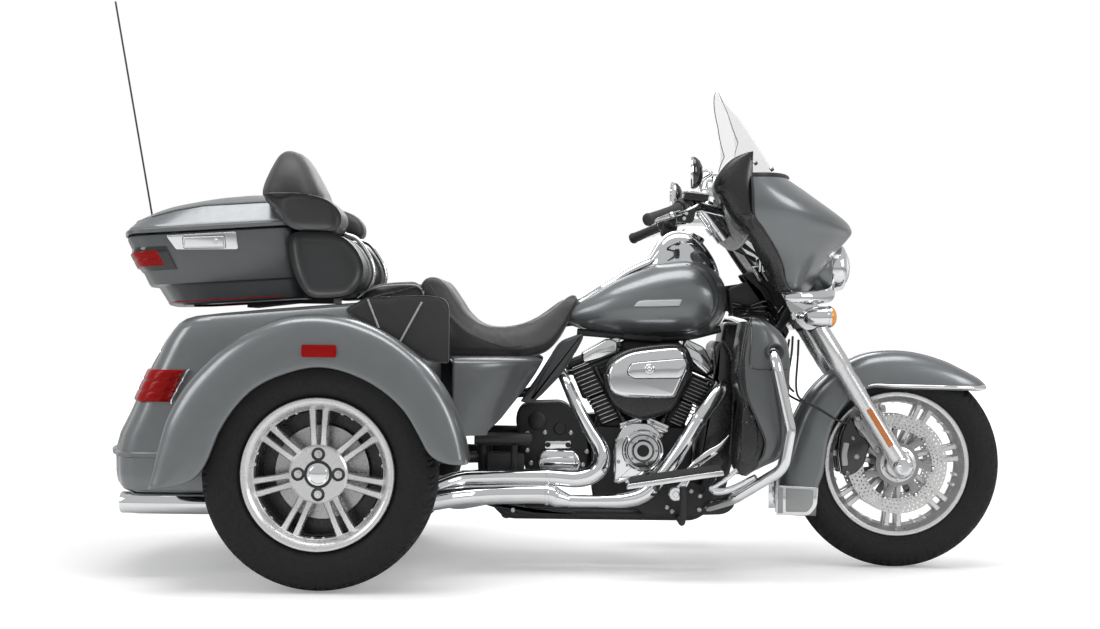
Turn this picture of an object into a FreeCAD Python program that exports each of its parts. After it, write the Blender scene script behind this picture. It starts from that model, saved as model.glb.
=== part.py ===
"""Full-dress touring motor tricycle: one wheel in front, two behind.

Millimetres.  +X points to the front, +Y to the rider's left, +Z up; the tyres stand on Z = 0.
The origin lies on the floor below the middle of the whole machine.
"""
import FreeCAD, Part
import os
import re
from math import cos, pi, radians, sin, tan

V = FreeCAD.Vector

# Every size that can be set by itself, written once (mm, degrees).
SIZES = {
    "wheelbase": 1670, "rear_axle_x": -600, "rake": 26, "fork_angle": 32, "trail": 99,
    "front_tyre_radius": 317, "front_tyre_width": 130, "front_rim_radius": 204, "front_rim_width": 94,
    "rear_tyre_radius": 318, "rear_tyre_width": 205, "rear_rim_radius": 191, "rear_rim_width": 166,
    "rear_track": 1114, "rim_flange": 15, "flange_thickness": 6, "rim_wall": 6,
    "spoke_pairs": 7, "spoke_width": 15, "hub_radius": 44, "rear_hub_radius": 79,
    "axle_radius": 12, "rotor_radius": 150, "rotor_thickness": 5, "rotor_offset": 60,
    "rotor_band": 42, "rotor_window_radius": 15, "rotor_windows": 7,
    "fork_spread": 244, "slider_radius": 29, "slider_length": 486, "fork_cover_radius": 27,
    "fork_length": 745, "crown_thickness": 34, "head_tube_radius": 30, "head_tube_length": 150,
    "bar_radius": 12.7, "grip_radius": 18, "grip_length": 118,
    "skin": 4, "panel_wall": 6, "door_wall": 22, "gap": 5, "seat_gap": 0.3, "hinge_radius": 5,
    "frame_tube_radius": 17, "guard_tube_radius": 15.9, "cradle_spread": 300, "rail_height": 166,
    "crank_x": 286, "crank_height": 364, "vee_angle": 45, "fin_count": 11, "fin_pitch": 11.5,
    "fin_thickness": 3.6, "fin_length": 170, "fin_width": 150, "barrel_radius": 56, "head_length": 56,
    "barrel_start": 132, "pushrod_radius": 9, "pushrod_y": 95, "case_half_width": 92,
    "air_cleaner_y": 112, "air_cleaner_depth": 86, "backplate_thickness": 6,
    "exhaust_radius": 24, "heat_shield_radius": 30, "muffler_radius": 32, "muffler_y": 395,
    "muffler_height": 212,
    "trunk_half_width": 428, "fender_outer_y": 695, "fender_radius": 430, "fender_opening": 292,
    "fender_setback": 18, "fender_edge_round": 60, "box_tilt": 3.9, "box_half_width": 292,
    "antenna_radius": 3, "antenna_length": 700,
    "antenna_lean": 10.4, "front_fender_radius": 345, "front_fender_half_width": 90,
    "tank_half_width": 168, "tank_length": 504, "tunnel_half_width": 48, "headlamp_radius": 66,
    "windshield_thickness": 4, "board_length": 300, "board_width": 120, "board_thickness": 14,
    "axle_tube_radius": 36, "differential_radius": 92,
}

doc = FreeCAD.newDocument("TouringTrike")
sheet = doc.addObject("Spreadsheet::Sheet", "Sizes")
for row, (alias, value) in enumerate(SIZES.items(), start=1):
    sheet.set(f"A{row}", alias)
    sheet.set(f"B{row}", str(value))
    sheet.setAlias(f"B{row}", alias)
doc.recompute()


def val(alias):
    """Number in one named cell."""
    return float(sheet.get(alias))


def cells(text):
    """Expression over cells: each bare word becomes a cell of the sheet."""
    return re.sub(r"[a-z]\w*", r"Sizes.\g<0>", text)


nodes = {}          # label -> document object that is exported
counter = [0]


def fresh(stem):
    """Unused object name."""
    counter[0] += 1
    return f"{stem}{counter[0]}"


def placed(at=(0, 0, 0), along=(0, 0, 1)):
    """Placement that turns +Z to a direction and moves the origin to a point."""
    return FreeCAD.Placement(V(*at), FreeCAD.Rotation(V(0, 0, 1), V(*along)))


def cylinder(radius, length, at, along=(0, 1, 0)):
    """Round bar from a point along a direction, radius and length as cell expressions."""
    bar = doc.addObject("Part::Cylinder", fresh("Bar"))
    bar.setExpression("Radius", cells(radius))
    bar.setExpression("Height", cells(length))
    bar.Placement = placed(at, along)
    return bar


def box(x, y, z, length, width, height):
    """Block from its lowest corner, with three cell expressions."""
    block = doc.addObject("Part::Box", fresh("Block"))
    block.setExpression("Length", cells(length))
    block.setExpression("Width", cells(width))
    block.setExpression("Height", cells(height))
    block.Placement = placed((x, y, z))
    return block


def edges(points, closed):
    """Lines and tangent arcs through (Vector, rounding radius) corners."""
    count = len(points)
    starts, pieces = [], []
    for index, (corner, radius) in enumerate(points):
        ends = not closed and index in (0, count - 1)
        if ends or radius <= 0:
            starts.append((corner, corner, None))
            continue
        back = (points[index - 1][0] - corner).normalize()
        ahead = (points[(index + 1) % count][0] - corner).normalize()
        half = back.getAngle(ahead) / 2
        centre = corner + (back + ahead).normalize() * (radius / sin(half))
        reach = radius / tan(half)
        middle = centre + (corner - centre).normalize() * radius
        starts.append((corner + back * reach, corner + ahead * reach, middle))
    for index, (begin, end, middle) in enumerate(starts):
        if middle is not None:
            pieces.append(Part.Arc(begin, middle, end).toShape())
        following = starts[(index + 1) % count][0]
        last = not closed and index == count - 1
        if not last and (following - end).Length > 1e-6:
            pieces.append(Part.LineSegment(end, following).toShape())
    return pieces


def ring(points, plane, offset):
    """Closed wire through rounded corners (a, b[, radius]) on the plane X, Y or Z = offset."""
    frame = {"X": lambda a, b: V(offset, a, b), "Y": lambda a, b: V(a, offset, b),
             "Z": lambda a, b: V(a, b, offset)}[plane]
    corners = [(frame(p[0], p[1]), p[2] if len(p) > 2 else 0) for p in points]
    return Part.Wire(edges(corners, True))


def shape(solid, stem="Form"):
    """Part::Feature that holds a shape made with Part's own functions."""
    holder = doc.addObject("Part::Feature", fresh(stem))
    holder.Shape = solid
    return holder


def plate(points, y_from, y_to, plane="Y"):
    """Flat outline extruded between two offsets of its plane."""
    face = Part.Face(ring(points, plane, y_from))
    step = {"X": V(1, 0, 0), "Y": V(0, 1, 0), "Z": V(0, 0, 1)}[plane] * (y_to - y_from)
    return shape(face.extrude(step), "Plate")


def pad(points, length, at, role="XZ_Plane"):
    """PartDesign pad of an outline; on the XZ plane it grows towards -Y from the point."""
    body = doc.addObject("PartDesign::Body", fresh("Body"))
    sketch = body.newObject("Sketcher::SketchObject", fresh("Outline"))
    sketch.AttachmentSupport = (origin_plane(body, role), [""])
    sketch.MapMode = "FlatFace"
    draw(sketch, points)
    grown = body.newObject("PartDesign::Pad", fresh("Pad"))
    grown.Profile = sketch
    grown.setExpression("Length", cells(length))
    body.Placement = placed(at)
    return body


def origin_plane(body, role):
    """Datum plane or axis of a body."""
    return next(item for item in body.Origin.OriginFeatures if item.Role == role)


def draw(sketch, points):
    """Rounded outline as sketch lines and arcs."""
    corners = [(V(p[0], p[1], 0), p[2] if len(p) > 2 else 0) for p in points]
    for edge in edges(corners, True):
        sketch.addGeometry(edge.Curve.trim(edge.FirstParameter, edge.LastParameter)
                           if hasattr(edge.Curve, "trim") else edge.Curve.toShape(), False)


def turned(points, at):
    """PartDesign revolution of (radius, y) corners about the Y direction through a point."""
    body = doc.addObject("PartDesign::Body", fresh("Body"))
    sketch = body.newObject("Sketcher::SketchObject", fresh("Profile"))
    sketch.AttachmentSupport = (origin_plane(body, "XY_Plane"), [""])
    sketch.MapMode = "FlatFace"
    draw(sketch, points)
    spun = body.newObject("PartDesign::Revolution", fresh("Turn"))
    spun.Profile = sketch
    spun.ReferenceAxis = (sketch, ["V_Axis"])
    spun.Angle = 360
    body.Placement = placed(at)
    return body


def tube(points, radius):
    """Round bar swept along straight runs and tangent arcs, (x, y, z, bend radius) a corner."""
    corners = [(V(*p[:3]), p[3] if len(p) > 3 else 0) for p in points]
    spine = shape(Part.Wire(edges(corners, False)), "Route")
    circle = doc.addObject("Part::Circle", fresh("Ring"))
    circle.setExpression("Radius", cells(radius))
    circle.Placement = placed(points[0][:3], tuple(corners[1][0] - corners[0][0]))
    sweep = doc.addObject("Part::Sweep", fresh("Tube"))
    sweep.Sections = [circle]
    sweep.Spine = (spine, [])
    sweep.Solid = True
    sweep.Frenet = False
    return sweep


def loft(rings, ruled=False):
    """Solid through closed sections."""
    body = doc.addObject("Part::Loft", fresh("Loft"))
    body.Sections = [shape(item, "Section") for item in rings]
    body.Solid = True
    body.Ruled = ruled
    return body


def mirrored(part):
    """The same piece on the other side of the middle plane."""
    twin = doc.addObject("Part::Mirroring", fresh("Twin"))
    twin.Source = part
    twin.Normal = V(0, 1, 0)
    return twin


def fused(*parts):
    """One object from pieces that touch or overlap; a single piece is passed on."""
    if len(parts) == 1:
        return parts[0]
    union = doc.addObject("Part::MultiFuse", fresh("Union"))
    union.Shapes = list(parts)
    return union


def cut(base, *tools):
    """Base without each tool."""
    for tool in tools:
        rest = doc.addObject("Part::Cut", fresh("Cut"))
        rest.Base = base
        rest.Tool = tool
        base = rest
    return base


def common(base, tool):
    """What two pieces share."""
    meet = doc.addObject("Part::Common", fresh("Common"))
    meet.Base = base
    meet.Tool = tool
    return meet


def node(label, *parts):
    """Name a finished sub-part."""
    part = fused(*parts)
    part.Label = label
    nodes[label] = part
    return part


# ---------------------------------------------------------------- places worked out from the sizes
rear_x = val("rear_axle_x")
front_x = rear_x + val("wheelbase")
rear_z = val("rear_tyre_radius")
front_z = val("front_tyre_radius")
rear_y = val("rear_track") / 2
rake = radians(val("rake"))
lean = radians(val("fork_angle"))
gap = val("gap")
skin = val("skin")
seat_gap = val("seat_gap")
leg_y = val("fork_spread") / 2
leg = V(-sin(lean), 0, cos(lean))                  # up along the fork legs
stem = V(-sin(rake), 0, cos(rake))                 # up along the steering axis
front_axle = V(front_x, 0, front_z)


def stem_x(z):
    """X of the steering axis at a height."""
    return front_x + val("trail") - z * tan(rake)


def front(points):
    """Side outline given from the front axle's X."""
    return [(front_x + p[0], *p[1:]) for p in points]


def rear(points):
    """Side outline given from the rear axle's X."""
    return [(rear_x + p[0], *p[1:]) for p in points]


def tyre_profile(radius, width, rim_radius, rim_width):
    """Cross-section (radius, y) of a tyre on its rim."""
    bead = rim_radius + val("rim_flange") + seat_gap
    half, seat = width / 2, rim_width / 2
    wall = (bead + radius) / 2
    side = [(rim_radius, seat, 0), (bead, seat, 0), (wall, half, 30), (radius, half * 0.66, 30)]
    return [(r, -y, bend) for r, y, bend in side] + [(r, y, bend) for r, y, bend in reversed(side)]


def rim_profile(rim_radius, rim_width):
    """Cross-section (radius, y) of a drop-centre rim."""
    half, wall, flange = rim_width / 2, val("rim_wall"), val("flange_thickness")
    edge = rim_radius + val("rim_flange")
    outside = [(rim_radius, half), (edge, half), (edge, half + flange), (rim_radius - wall, half + flange)]
    well = [(rim_radius - 2 * wall, half - 3 * wall), (rim_radius - 2 * wall, 0)]
    lower = outside + well
    return [(r, y) for r, y in lower] + [(r, -y) for r, y in reversed(lower[:-1])]


def wheel(rim_radius, rim_width, hub, hub_from, hub_to, centre):
    """Rim and hub of a cast wheel."""
    body = turned(rim_profile(rim_radius, rim_width), centre)
    sketch = body.newObject("Sketcher::SketchObject", fresh("Hub"))
    sketch.AttachmentSupport = (origin_plane(body, "XY_Plane"), [""])
    sketch.MapMode = "FlatFace"
    bore = val("axle_radius")
    draw(sketch, [(bore, hub_from), (hub, hub_from), (hub, hub_to), (bore, hub_to)])
    spun = body.newObject("PartDesign::Revolution", fresh("HubTurn"))
    spun.Profile = sketch
    spun.ReferenceAxis = (sketch, ["V_Axis"])
    spun.Angle = 360
    return body


def spokes(rim_radius, hub, face_y, depth_to, first_angle, centre):
    """Pairs of tapered spokes between hub and rim."""
    pieces = []
    width = val("spoke_width")
    pairs = int(round(val("spoke_pairs")))
    inner, outer = hub - 4, rim_radius - 1.6 * val("rim_wall")
    for pair in range(pairs):
        middle = radians(first_angle + 360 * pair / pairs)
        along = V(cos(middle), 0, sin(middle))
        across = V(-sin(middle), 0, cos(middle))
        for side in (-1, 1):
            root, tip = side * width * 1.1, side * width * 1.45
            spread = [(inner, root - width / 2), (outer, tip - width * 0.55),
                      (outer, tip + width * 0.55), (inner, root + width / 2)]
            corners = [centre + along * a + across * b + V(0, face_y, 0) for a, b in spread]
            face = Part.Face(Part.Wire(edges([(corner, 0) for corner in corners], True)))
            pieces.append(face.extrude(V(0, depth_to - face_y, 0)))
    return pieces


# ---------------------------------------------------------------- wheels and tyres
hub_end = val("rotor_offset") - val("rotor_thickness") / 2
front_body = wheel(val("front_rim_radius"), val("front_rim_width"), val("hub_radius"), -hub_end, hub_end,
                   tuple(front_axle))
front_spokes = spokes(val("front_rim_radius"), val("hub_radius"), -22, 22, 10.7, front_axle)
node("front_wheel", front_body, *[shape(item, "Spoke") for item in front_spokes])
node("front_tyre", turned(tyre_profile(val("front_tyre_radius"), val("front_tyre_width"),
                                       val("front_rim_radius"), val("front_rim_width")), tuple(front_axle)))

for side, word in ((-1, "right"), (1, "left")):
    centre = V(rear_x, side * rear_y, rear_z)
    hub_low, hub_high = sorted((side * 70, -side * 60))
    body = wheel(val("rear_rim_radius"), val("rear_rim_width"), val("rear_hub_radius"), hub_low, hub_high,
                 tuple(centre))
    arms = spokes(val("rear_rim_radius"), val("rear_hub_radius"), side * 40, side * 62, 90, centre)
    node(f"{word}_rear_wheel", body, *[shape(item, "Spoke") for item in arms])
    node(f"{word}_rear_tyre", turned(tyre_profile(val("rear_tyre_radius"), val("rear_tyre_width"),
                                                  val("rear_rim_radius"), val("rear_rim_width")),
                                     tuple(centre)))


def rotor(y_middle, centre):
    """Brake rotor about an axle: a band on a thinner carrier with round windows."""
    half = val("rotor_thickness") / 2
    bore = val("axle_radius") + 1
    band = val("rotor_radius") - val("rotor_band")
    disc = turned([(bore, y_middle - half), (val("rotor_radius"), y_middle - half),
                   (val("rotor_radius"), y_middle + half), (bore, y_middle + half)], tuple(centre))
    windows = []
    for index in range(int(round(val("rotor_windows")))):
        turn = 2 * pi * index / val("rotor_windows")
        reach = band - val("rotor_window_radius") - 6
        at = centre + V(cos(turn) * reach, y_middle - 2 * half, sin(turn) * reach)
        windows.append(cylinder("rotor_window_radius", "2 * rotor_thickness", tuple(at)))
    return cut(disc, fused(*windows))


rotor_y = val("rotor_offset")
node("front_rotors", rotor(-rotor_y, front_axle), rotor(rotor_y, front_axle))

# ---------------------------------------------------------------- fork, crowns and axle
legs = []
for side in (-1, 1):
    foot = front_axle + V(0, side * leg_y, 0) - leg * 42
    legs.append(cylinder("slider_radius", "slider_length + 42", tuple(foot), tuple(leg)))
    top = front_axle + V(0, side * leg_y, 0) + leg * val("slider_length")
    legs.append(cylinder("fork_cover_radius", "fork_length - slider_length", tuple(top), tuple(leg)))
    mount_at = front_axle + leg * 300
    legs.append(cylinder("18", "fork_spread / 2 - front_fender_half_width - seat_gap",
                         (mount_at.x, side * leg_y, mount_at.z), (0, -side, 0)))
legs.append(cylinder("axle_radius - 0.3", "fork_spread", tuple(front_axle - V(0, leg_y, 0))))
node("fork", *legs)

head_low = V(stem_x(770), 0, 770)
head_top = head_low + stem * val("head_tube_length")


def crown(distance, label):
    """Plate that clamps both legs and the stem, square to the steering axis."""
    base = head_low + stem * distance
    thick = val("crown_thickness")
    side = V(0, 1, 0)
    ahead = side.cross(stem) * -1
    pieces = []
    legs_at = front_axle + leg * ((base - front_axle).dot(stem) / leg.dot(stem))
    reach = (legs_at - base).dot(ahead)
    outline = [(26, -40, 12), (26, 40, 12), (reach + 30, leg_y + 38, 26), (reach - 34, leg_y + 38, 26),
               (reach - 38, 30, 20), (reach - 38, -30, 20), (reach - 34, -leg_y - 38, 26),
               (reach + 30, -leg_y - 38, 26)]
    corners = [(base + ahead * a + side * b, bend) for a, b, bend in outline]
    face = Part.Face(Part.Wire(edges(corners, True)))
    return shape(face.extrude(stem * thick), label)


clearance = 3
lower_crown = crown(-val("crown_thickness") - clearance, "LowerCrown")
upper_crown = crown(val("head_tube_length") + clearance, "UpperCrown")
stem_bar = cylinder("16", "head_tube_length + 80", tuple(head_low - stem * 40), tuple(stem))
leg_holes = []
for side in (-1, 1):
    start = front_axle + V(0, side * leg_y, 0) + leg * 300
    leg_holes.append(cylinder("fork_cover_radius + 2 * seat_gap", "600", tuple(start), tuple(leg)))
crown_union = cut(fused(lower_crown, upper_crown, stem_bar), *leg_holes)

# ---------------------------------------------------------------- handlebar, grips, mirrors
bar_clamp = head_top + stem * 75 + V(-20, 0, 0)
bar_route = [(0, 0, 0, 0), (0, 70, 0, 30), (-110, 130, 86, 60), (-235, 330, 98, 60), (-385, 468, 48, 0)]
bar_points = [(bar_clamp.x + ahead, aside, bar_clamp.z + rise, bend)
              for ahead, aside, rise, bend in bar_route]
bar_half = tube(bar_points, "bar_radius")
clamps = [cylinder("19", "64", (bar_clamp.x, side * 40, bar_clamp.z - 74), (0, 0, 1)) for side in (-1, 1)]
node("handlebar", bar_half, mirrored(bar_half), *[cut(c, upper_crown) for c in clamps])
grip_dir = (V(*bar_points[-1][:3]) - V(*bar_points[-2][:3])).normalize()
grip_end = V(*bar_points[-1][:3]) + grip_dir * 4
grip_start = grip_end - grip_dir * val("grip_length")
grip = cut(cylinder("grip_radius", "grip_length", tuple(grip_start), tuple(grip_dir)),
           cylinder("bar_radius", "grip_length - 4", tuple(grip_start), tuple(grip_dir)))
node("grips", grip, mirrored(grip))
switch_start = grip_start - grip_dir * 52
switch = cylinder("26", "50", tuple(switch_start), tuple(grip_dir))
reservoir = box(switch_start.x + 4, switch_start.y - 44, switch_start.z + 14, "52", "60", "34")
lever_root = switch_start + V(44, 10, 8)
lever = tube([(*lever_root, 0), (lever_root.x + 16, lever_root.y + 40, lever_root.z, 20),
              (lever_root.x - 26, lever_root.y + 150, lever_root.z - 24, 0)], "7")
bar_space = cylinder("bar_radius", "130", tuple(switch_start - grip_dir * 40), tuple(grip_dir))
control = cut(fused(switch, reservoir, lever), bar_space, grip, bar_half)
node("hand_controls", control, mirrored(control))
mirror_foot = V(switch_start.x + 40, switch_start.y - 30, switch_start.z + 40)
mirror_glass = V(mirror_foot.x + 10, mirror_foot.y + 36, mirror_foot.z + 80)
mirror_arm = tube([(*mirror_foot, 0), (mirror_foot.x + 24, mirror_foot.y, mirror_foot.z + 50, 20),
                   (*mirror_glass, 0)], "6")
mirror_head = cylinder("48", "18", tuple(mirror_glass - V(20, 0, 0)), (1, 0, 0.15))
mirror_piece = cut(fused(mirror_arm, mirror_head), reservoir, switch)
node("mirrors", mirror_piece, mirrored(mirror_piece))

# ---------------------------------------------------------------- fairing, windshield, lamps
FAIRING = [            # height, rear X, shoulder X, nose X (from the front axle), half width
    (842, -340, -285, -255, 190),
    (960, -440, -325, -192, 325),
    (1035, -462, -360, -190, 378),
    (1080, -465, -395, -232, 396),
    (1178, -470, -440, -368, 385),
]


def bow(z, rear_at, shoulder, nose, half, inset):
    """Plan section of the fairing: a bow round the nose, closed by a straight back."""
    tip = nose - inset
    side = half - inset
    back = rear_at - inset * 2
    return ring([(front_x + back, -side), (front_x + shoulder - inset, -side * 0.93, 60),
                 (front_x + tip, -side * 0.36, 90), (front_x + tip, side * 0.36, 90),
                 (front_x + shoulder - inset, side * 0.93, 60), (front_x + back, side)], "Z", z)


outer_bow = loft([bow(*row, 0) for row in FAIRING], True)
inner_rows = [(row[0] - (2 if index == 0 else 0) - (skin if index == len(FAIRING) - 1 else 0), *row[1:])
              for index, row in enumerate(FAIRING)]
inner_bow = loft([bow(*row, skin) for row in inner_rows], True)
lamp_z = 910
lamp_at = (front_x - 300, 0, lamp_z)
lamp_hole = cylinder("headlamp_radius + seat_gap", "260", lamp_at, (1, 0, 0))
node("outer_fairing", cut(outer_bow, inner_bow, lamp_hole))
fairing_stay = common(cylinder("8", "600", (front_x - 345, -300, 930)), inner_bow)
node("fork_crowns", crown_union, cut(fairing_stay, *leg_holes))

bucket = cylinder("headlamp_radius", "120", (front_x - 268, 0, lamp_z), (1, 0, 0))
bezel = cylinder("headlamp_radius - 6", "14", (front_x - 149, 0, lamp_z), (1, 0, 0))
node("headlamp", bucket, bezel)

rear_face, front_face = front_x - 592, front_x - 440


def wing(x, low, high, half, inset):
    """Outline of the inner fairing across the machine."""
    side = half - inset
    bottom, top = low + inset, high - inset
    return ring([(-side, bottom + 26, 10), (-side * 0.5, bottom, 40), (side * 0.5, bottom, 40),
                 (side, bottom + 26, 10), (side, top - 30, 10), (side * 0.45, top, 40),
                 (-side * 0.45, top, 40), (-side, top - 30, 10)], "X", x)


inner_outer = loft([wing(rear_face, 1110, 1200, 318, 0), wing(front_face, 985, 1215, 397, 0)], True)
inner_hollow = loft([wing(rear_face + skin, 1110, 1200, 318, skin),
                     wing(front_face + 1, 985, 1215, 397, skin)], True)
bar_channel = tube(bar_points, "bar_radius + 6")
node("inner_fairing", cut(inner_outer, inner_hollow, bar_channel, mirrored(bar_channel), outer_bow))

SCREEN = [             # height, middle X, edge X (from the front axle), half width
    (1150, -362, -450, 262),
    (1271, -424, -500, 252),
    (1360, -484, -530, 212),
    (1447, -557, -568, 84),
]


def screen_section(z, middle, edge, half):
    """Thin bowed section of the windshield."""
    thick = val("windshield_thickness")
    points = [V(front_x + edge, -half, z), V(front_x + middle, 0, z), V(front_x + edge, half, z)]
    inner = [point - V(thick, 0, 0) for point in points]
    outline = [Part.Arc(*points).toShape(), Part.LineSegment(points[2], inner[2]).toShape(),
               Part.Arc(*reversed(inner)).toShape(), Part.LineSegment(inner[0], points[0]).toShape()]
    return Part.Wire(outline)


screen = loft([screen_section(*row) for row in SCREEN])
node("windshield", cut(screen, outer_bow, inner_outer))

signal_y = 205
signal_from = (front_x - 300, -signal_y, 765)
signal = cylinder("34", "96", signal_from, (1, 0, 0))
lamp_arm = tube([(front_x - 214, 0, 806, 0), (front_x - 218, -90, 802, 60),
                 (front_x - 262, -signal_y, 775, 0)], "11")
lamp_stay = cylinder("9", "52", (front_x - 236, 0, 762), (0.4, 0, 0.92))
leg_room = [cylinder("fork_cover_radius + 1", "600", tuple(front_axle + V(0, side * leg_y, 0) + leg * 300),
                     tuple(leg)) for side in (-1, 1)]
bar_lamps = cut(fused(lamp_arm, mirrored(lamp_arm), signal, mirrored(signal), lamp_stay), *leg_room,
                outer_bow,
                lower_crown)
node("lamp_bar", bar_lamps)
lens = cylinder("31", "12", (front_x - 204, -signal_y, 765), (1, 0, 0))
node("signal_lenses", lens, mirrored(lens))

# ---------------------------------------------------------------- front fender and brakes
fender_half = val("front_fender_half_width")
fender_r = val("front_fender_radius")


def fender_arch(inset):
    """Front mudguard as an arch section swept over the tyre, ends running off straight."""
    half = fender_half - inset
    drop = 240
    start_angle, end_angle = radians(50), radians(183)
    begin = front_axle + V(cos(start_angle), 0, sin(start_angle)) * fender_r
    finish = front_axle + V(cos(end_angle), 0, sin(end_angle)) * fender_r
    middle_angle = (start_angle + end_angle) / 2
    middle = front_axle + V(cos(middle_angle), 0, sin(middle_angle)) * fender_r
    lead = begin + V(sin(start_angle), 0, -cos(start_angle)) * (80 + inset)
    trail_end = finish + V(-sin(end_angle), 0, cos(end_angle)) * (162 + inset)
    spine = Part.Wire([Part.LineSegment(lead, begin).toShape(), Part.Arc(begin, middle, finish).toShape(),
                       Part.LineSegment(finish, trail_end).toShape()])
    out = V(cos(start_angle), 0, sin(start_angle))
    top = -inset
    corners = [(-half, -drop), (-half, top - 52, 40), (-half * 0.55, top - 6, 60),
               (half * 0.55, top - 6, 60),
               (half, top - 52, 40), (half, -drop)]
    section = Part.Wire(edges([(lead + V(0, 1, 0) * p[0] + out * p[1], p[2] if len(p) > 2 else 0)
                               for p in corners], True))
    sweep = doc.addObject("Part::Sweep", fresh("Arch"))
    sweep.Sections = [shape(section, "Section")]
    sweep.Spine = (shape(spine, "Route"), [])
    sweep.Solid = True
    return sweep


FENDER_SIDE = [(-362, -165, 0), (-368, -60, 0), (-400, 60, 0), (-300, 360, 0), (0, 420, 0), (330, 420, 0),
               (330, 236, 0), (270, 228, 20), (-78, 232, 30), (-196, 112, 30), (-215, 55, 60),
               (-224, -8, 60), (-248, -66, 20), (-300, -66, 0), (-300, -165, 0)]
side_mask = plate([(front_x + p[0], front_z + p[1], *p[2:]) for p in FENDER_SIDE], -200, 200)
node("front_fender", common(cut(fender_arch(0), fender_arch(skin)), side_mask))
rail_outer = plate(front([(-80, front_z + 222, 4), (272, front_z + 217, 4), (276, front_z + 231, 4),
                          (-80, front_z + 235, 4)]), -fender_half - 6, -fender_half - 0.3)
node("fender_trim", rail_outer, mirrored(rail_outer))


def caliper(centre, y_middle, angle, radius):
    """Brake caliper that straddles its rotor."""
    at = centre + V(cos(radians(angle)), 0, sin(radians(angle))) * radius
    outline = [(at.x - 36, at.z - 58, 20), (at.x + 36, at.z - 58, 20), (at.x + 36, at.z + 58, 20),
               (at.x - 36, at.z + 58, 20)]
    block = plate(outline, y_middle - 27, y_middle + 27)
    room = turned([(0, y_middle - 5), (val("rotor_radius") + 4, y_middle - 5),
                   (val("rotor_radius") + 4, y_middle + 5), (0, y_middle + 5)], (centre.x, 0, centre.z))
    return cut(block, room)


lug_y = -leg_y + val("slider_radius") + seat_gap
caliper_lug = plate(front([(-140, 330, 8), (-16, 326, 10), (-26, 372, 10), (-140, 384, 8)]), lug_y,
                    -rotor_y - 20)
rotor_room = turned([(0, -rotor_y - 6), (val("rotor_radius") + 4, -rotor_y - 6),
                     (val("rotor_radius") + 4, -rotor_y + 6), (0, -rotor_y + 6)], (front_x, 0, front_z))
front_caliper = fused(caliper(front_axle, -rotor_y, 165, 128), cut(caliper_lug, rotor_room))
node("front_calipers", front_caliper, mirrored(front_caliper))

# ---------------------------------------------------------------- engine and gearbox cases
crank = V(val("crank_x"), 0, val("crank_height"))
half_vee = radians(val("vee_angle") / 2)
case_half = val("case_half_width")
case = pad([(-140, -170, 30), (150, -170, 40), (168, 20, 60), (120, 110, 30), (60, 130, 20), (0, 96, 20),
            (-60, 130, 20), (-130, 110, 30), (-150, 0, 40)], "2 * case_half_width",
           (crank.x, case_half, crank.z))
gearbox = pad([(-360, -120, 30), (-130, -150, 30), (-130, 100, 30), (-210, 128, 40), (-330, 128, 40),
               (-372, 40, 40)], "2 * case_half_width - 10", (crank.x, case_half - 5, crank.z))

# ---------------------------------------------------------------- frame, axle and running gear
rail_y = val("cradle_spread") / 2
rail_z = val("rail_height")
front_tube = [(stem_x(800) - 26, 30, 800, 0), (front_x - 470, 96, 560, 120),
              (front_x - 548, rail_y, 236, 120),
              (front_x - 620, rail_y, rail_z, 60), (-110, rail_y, rail_z, 60), (-176, rail_y, 240, 60),
              (-196, 118, 560, 60), (-150, 46, 655, 0)]
cradle = tube(front_tube, "frame_tube_radius")
head_tube = cut(cylinder("head_tube_radius", "head_tube_length", tuple(head_low), tuple(stem)),
                cylinder("16.3", "head_tube_length + 20", tuple(head_low - stem * 10), tuple(stem)))
backbone = plate([(-170, 640, 10), (-60, 640, 10), (60, 722, 40), (stem_x(800) - 60, 792, 20),
                  (stem_x(830) - 26, 800), (stem_x(880) - 26, 868), (stem_x(880) - 90, 868, 20),
                  (120, 784, 60), (-90, 712, 30), (-170, 700, 10)], -26, 26)
subframe = tube([(-190, 132, 330, 0), (-300, 190, 330, 60), (rear_x + 60, 210, rear_z, 60),
                 (rear_x - 110, 210, rear_z - 6, 0)], "frame_tube_radius")
strut = tube([(-196, 118, 560, 0), (-290, 150, 440, 60), (rear_x + 40, 210, 350, 0)], "frame_tube_radius")
cross_low = cylinder("frame_tube_radius", "cradle_spread", (-110, -rail_y, rail_z))
cross_front = cylinder("frame_tube_radius", "cradle_spread", (front_x - 600, -rail_y, 190))
cover_stay = V(-50, 190, 520) - V(-192, 124, 505)
cover_bracket = fused(cylinder("7", f"{cover_stay.Length}", (-192, 124, 505), tuple(cover_stay)),
                      cylinder("9", "20 - seat_gap", (-50, 180, 520)))
tank_pin = cylinder("12", "2 * tunnel_half_width - 2 * seat_gap",
                    (430, -val("tunnel_half_width") + seat_gap, 800))
board_bracket = tube([(400, rail_y, 160, 0), (400, 330, 162, 30), (400, 336, 268 - seat_gap, 0)], "10")
front_mount = box(438, -30, 196, "32", "60", "30")
rear_mount = box(-112, -30, 166, "50", "60", "50")
stem_space = cylinder("16.3", "head_tube_length + 20", tuple(head_low - stem * 10), tuple(stem))
crown_room = [cylinder("90", "60", tuple(head_low - stem * (60 + 1)), tuple(stem)),
              cylinder("90", "60", tuple(head_top + stem * 1), tuple(stem))]
node("frame", cut(fused(head_tube, backbone, cradle, mirrored(cradle), subframe, mirrored(subframe),
                        strut, mirrored(strut), cross_low, cross_front, cover_bracket,
                        mirrored(cover_bracket),
                        board_bracket, mirrored(board_bracket), front_mount, rear_mount, tank_pin),
                  stem_space, *crown_room, case, gearbox))

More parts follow.
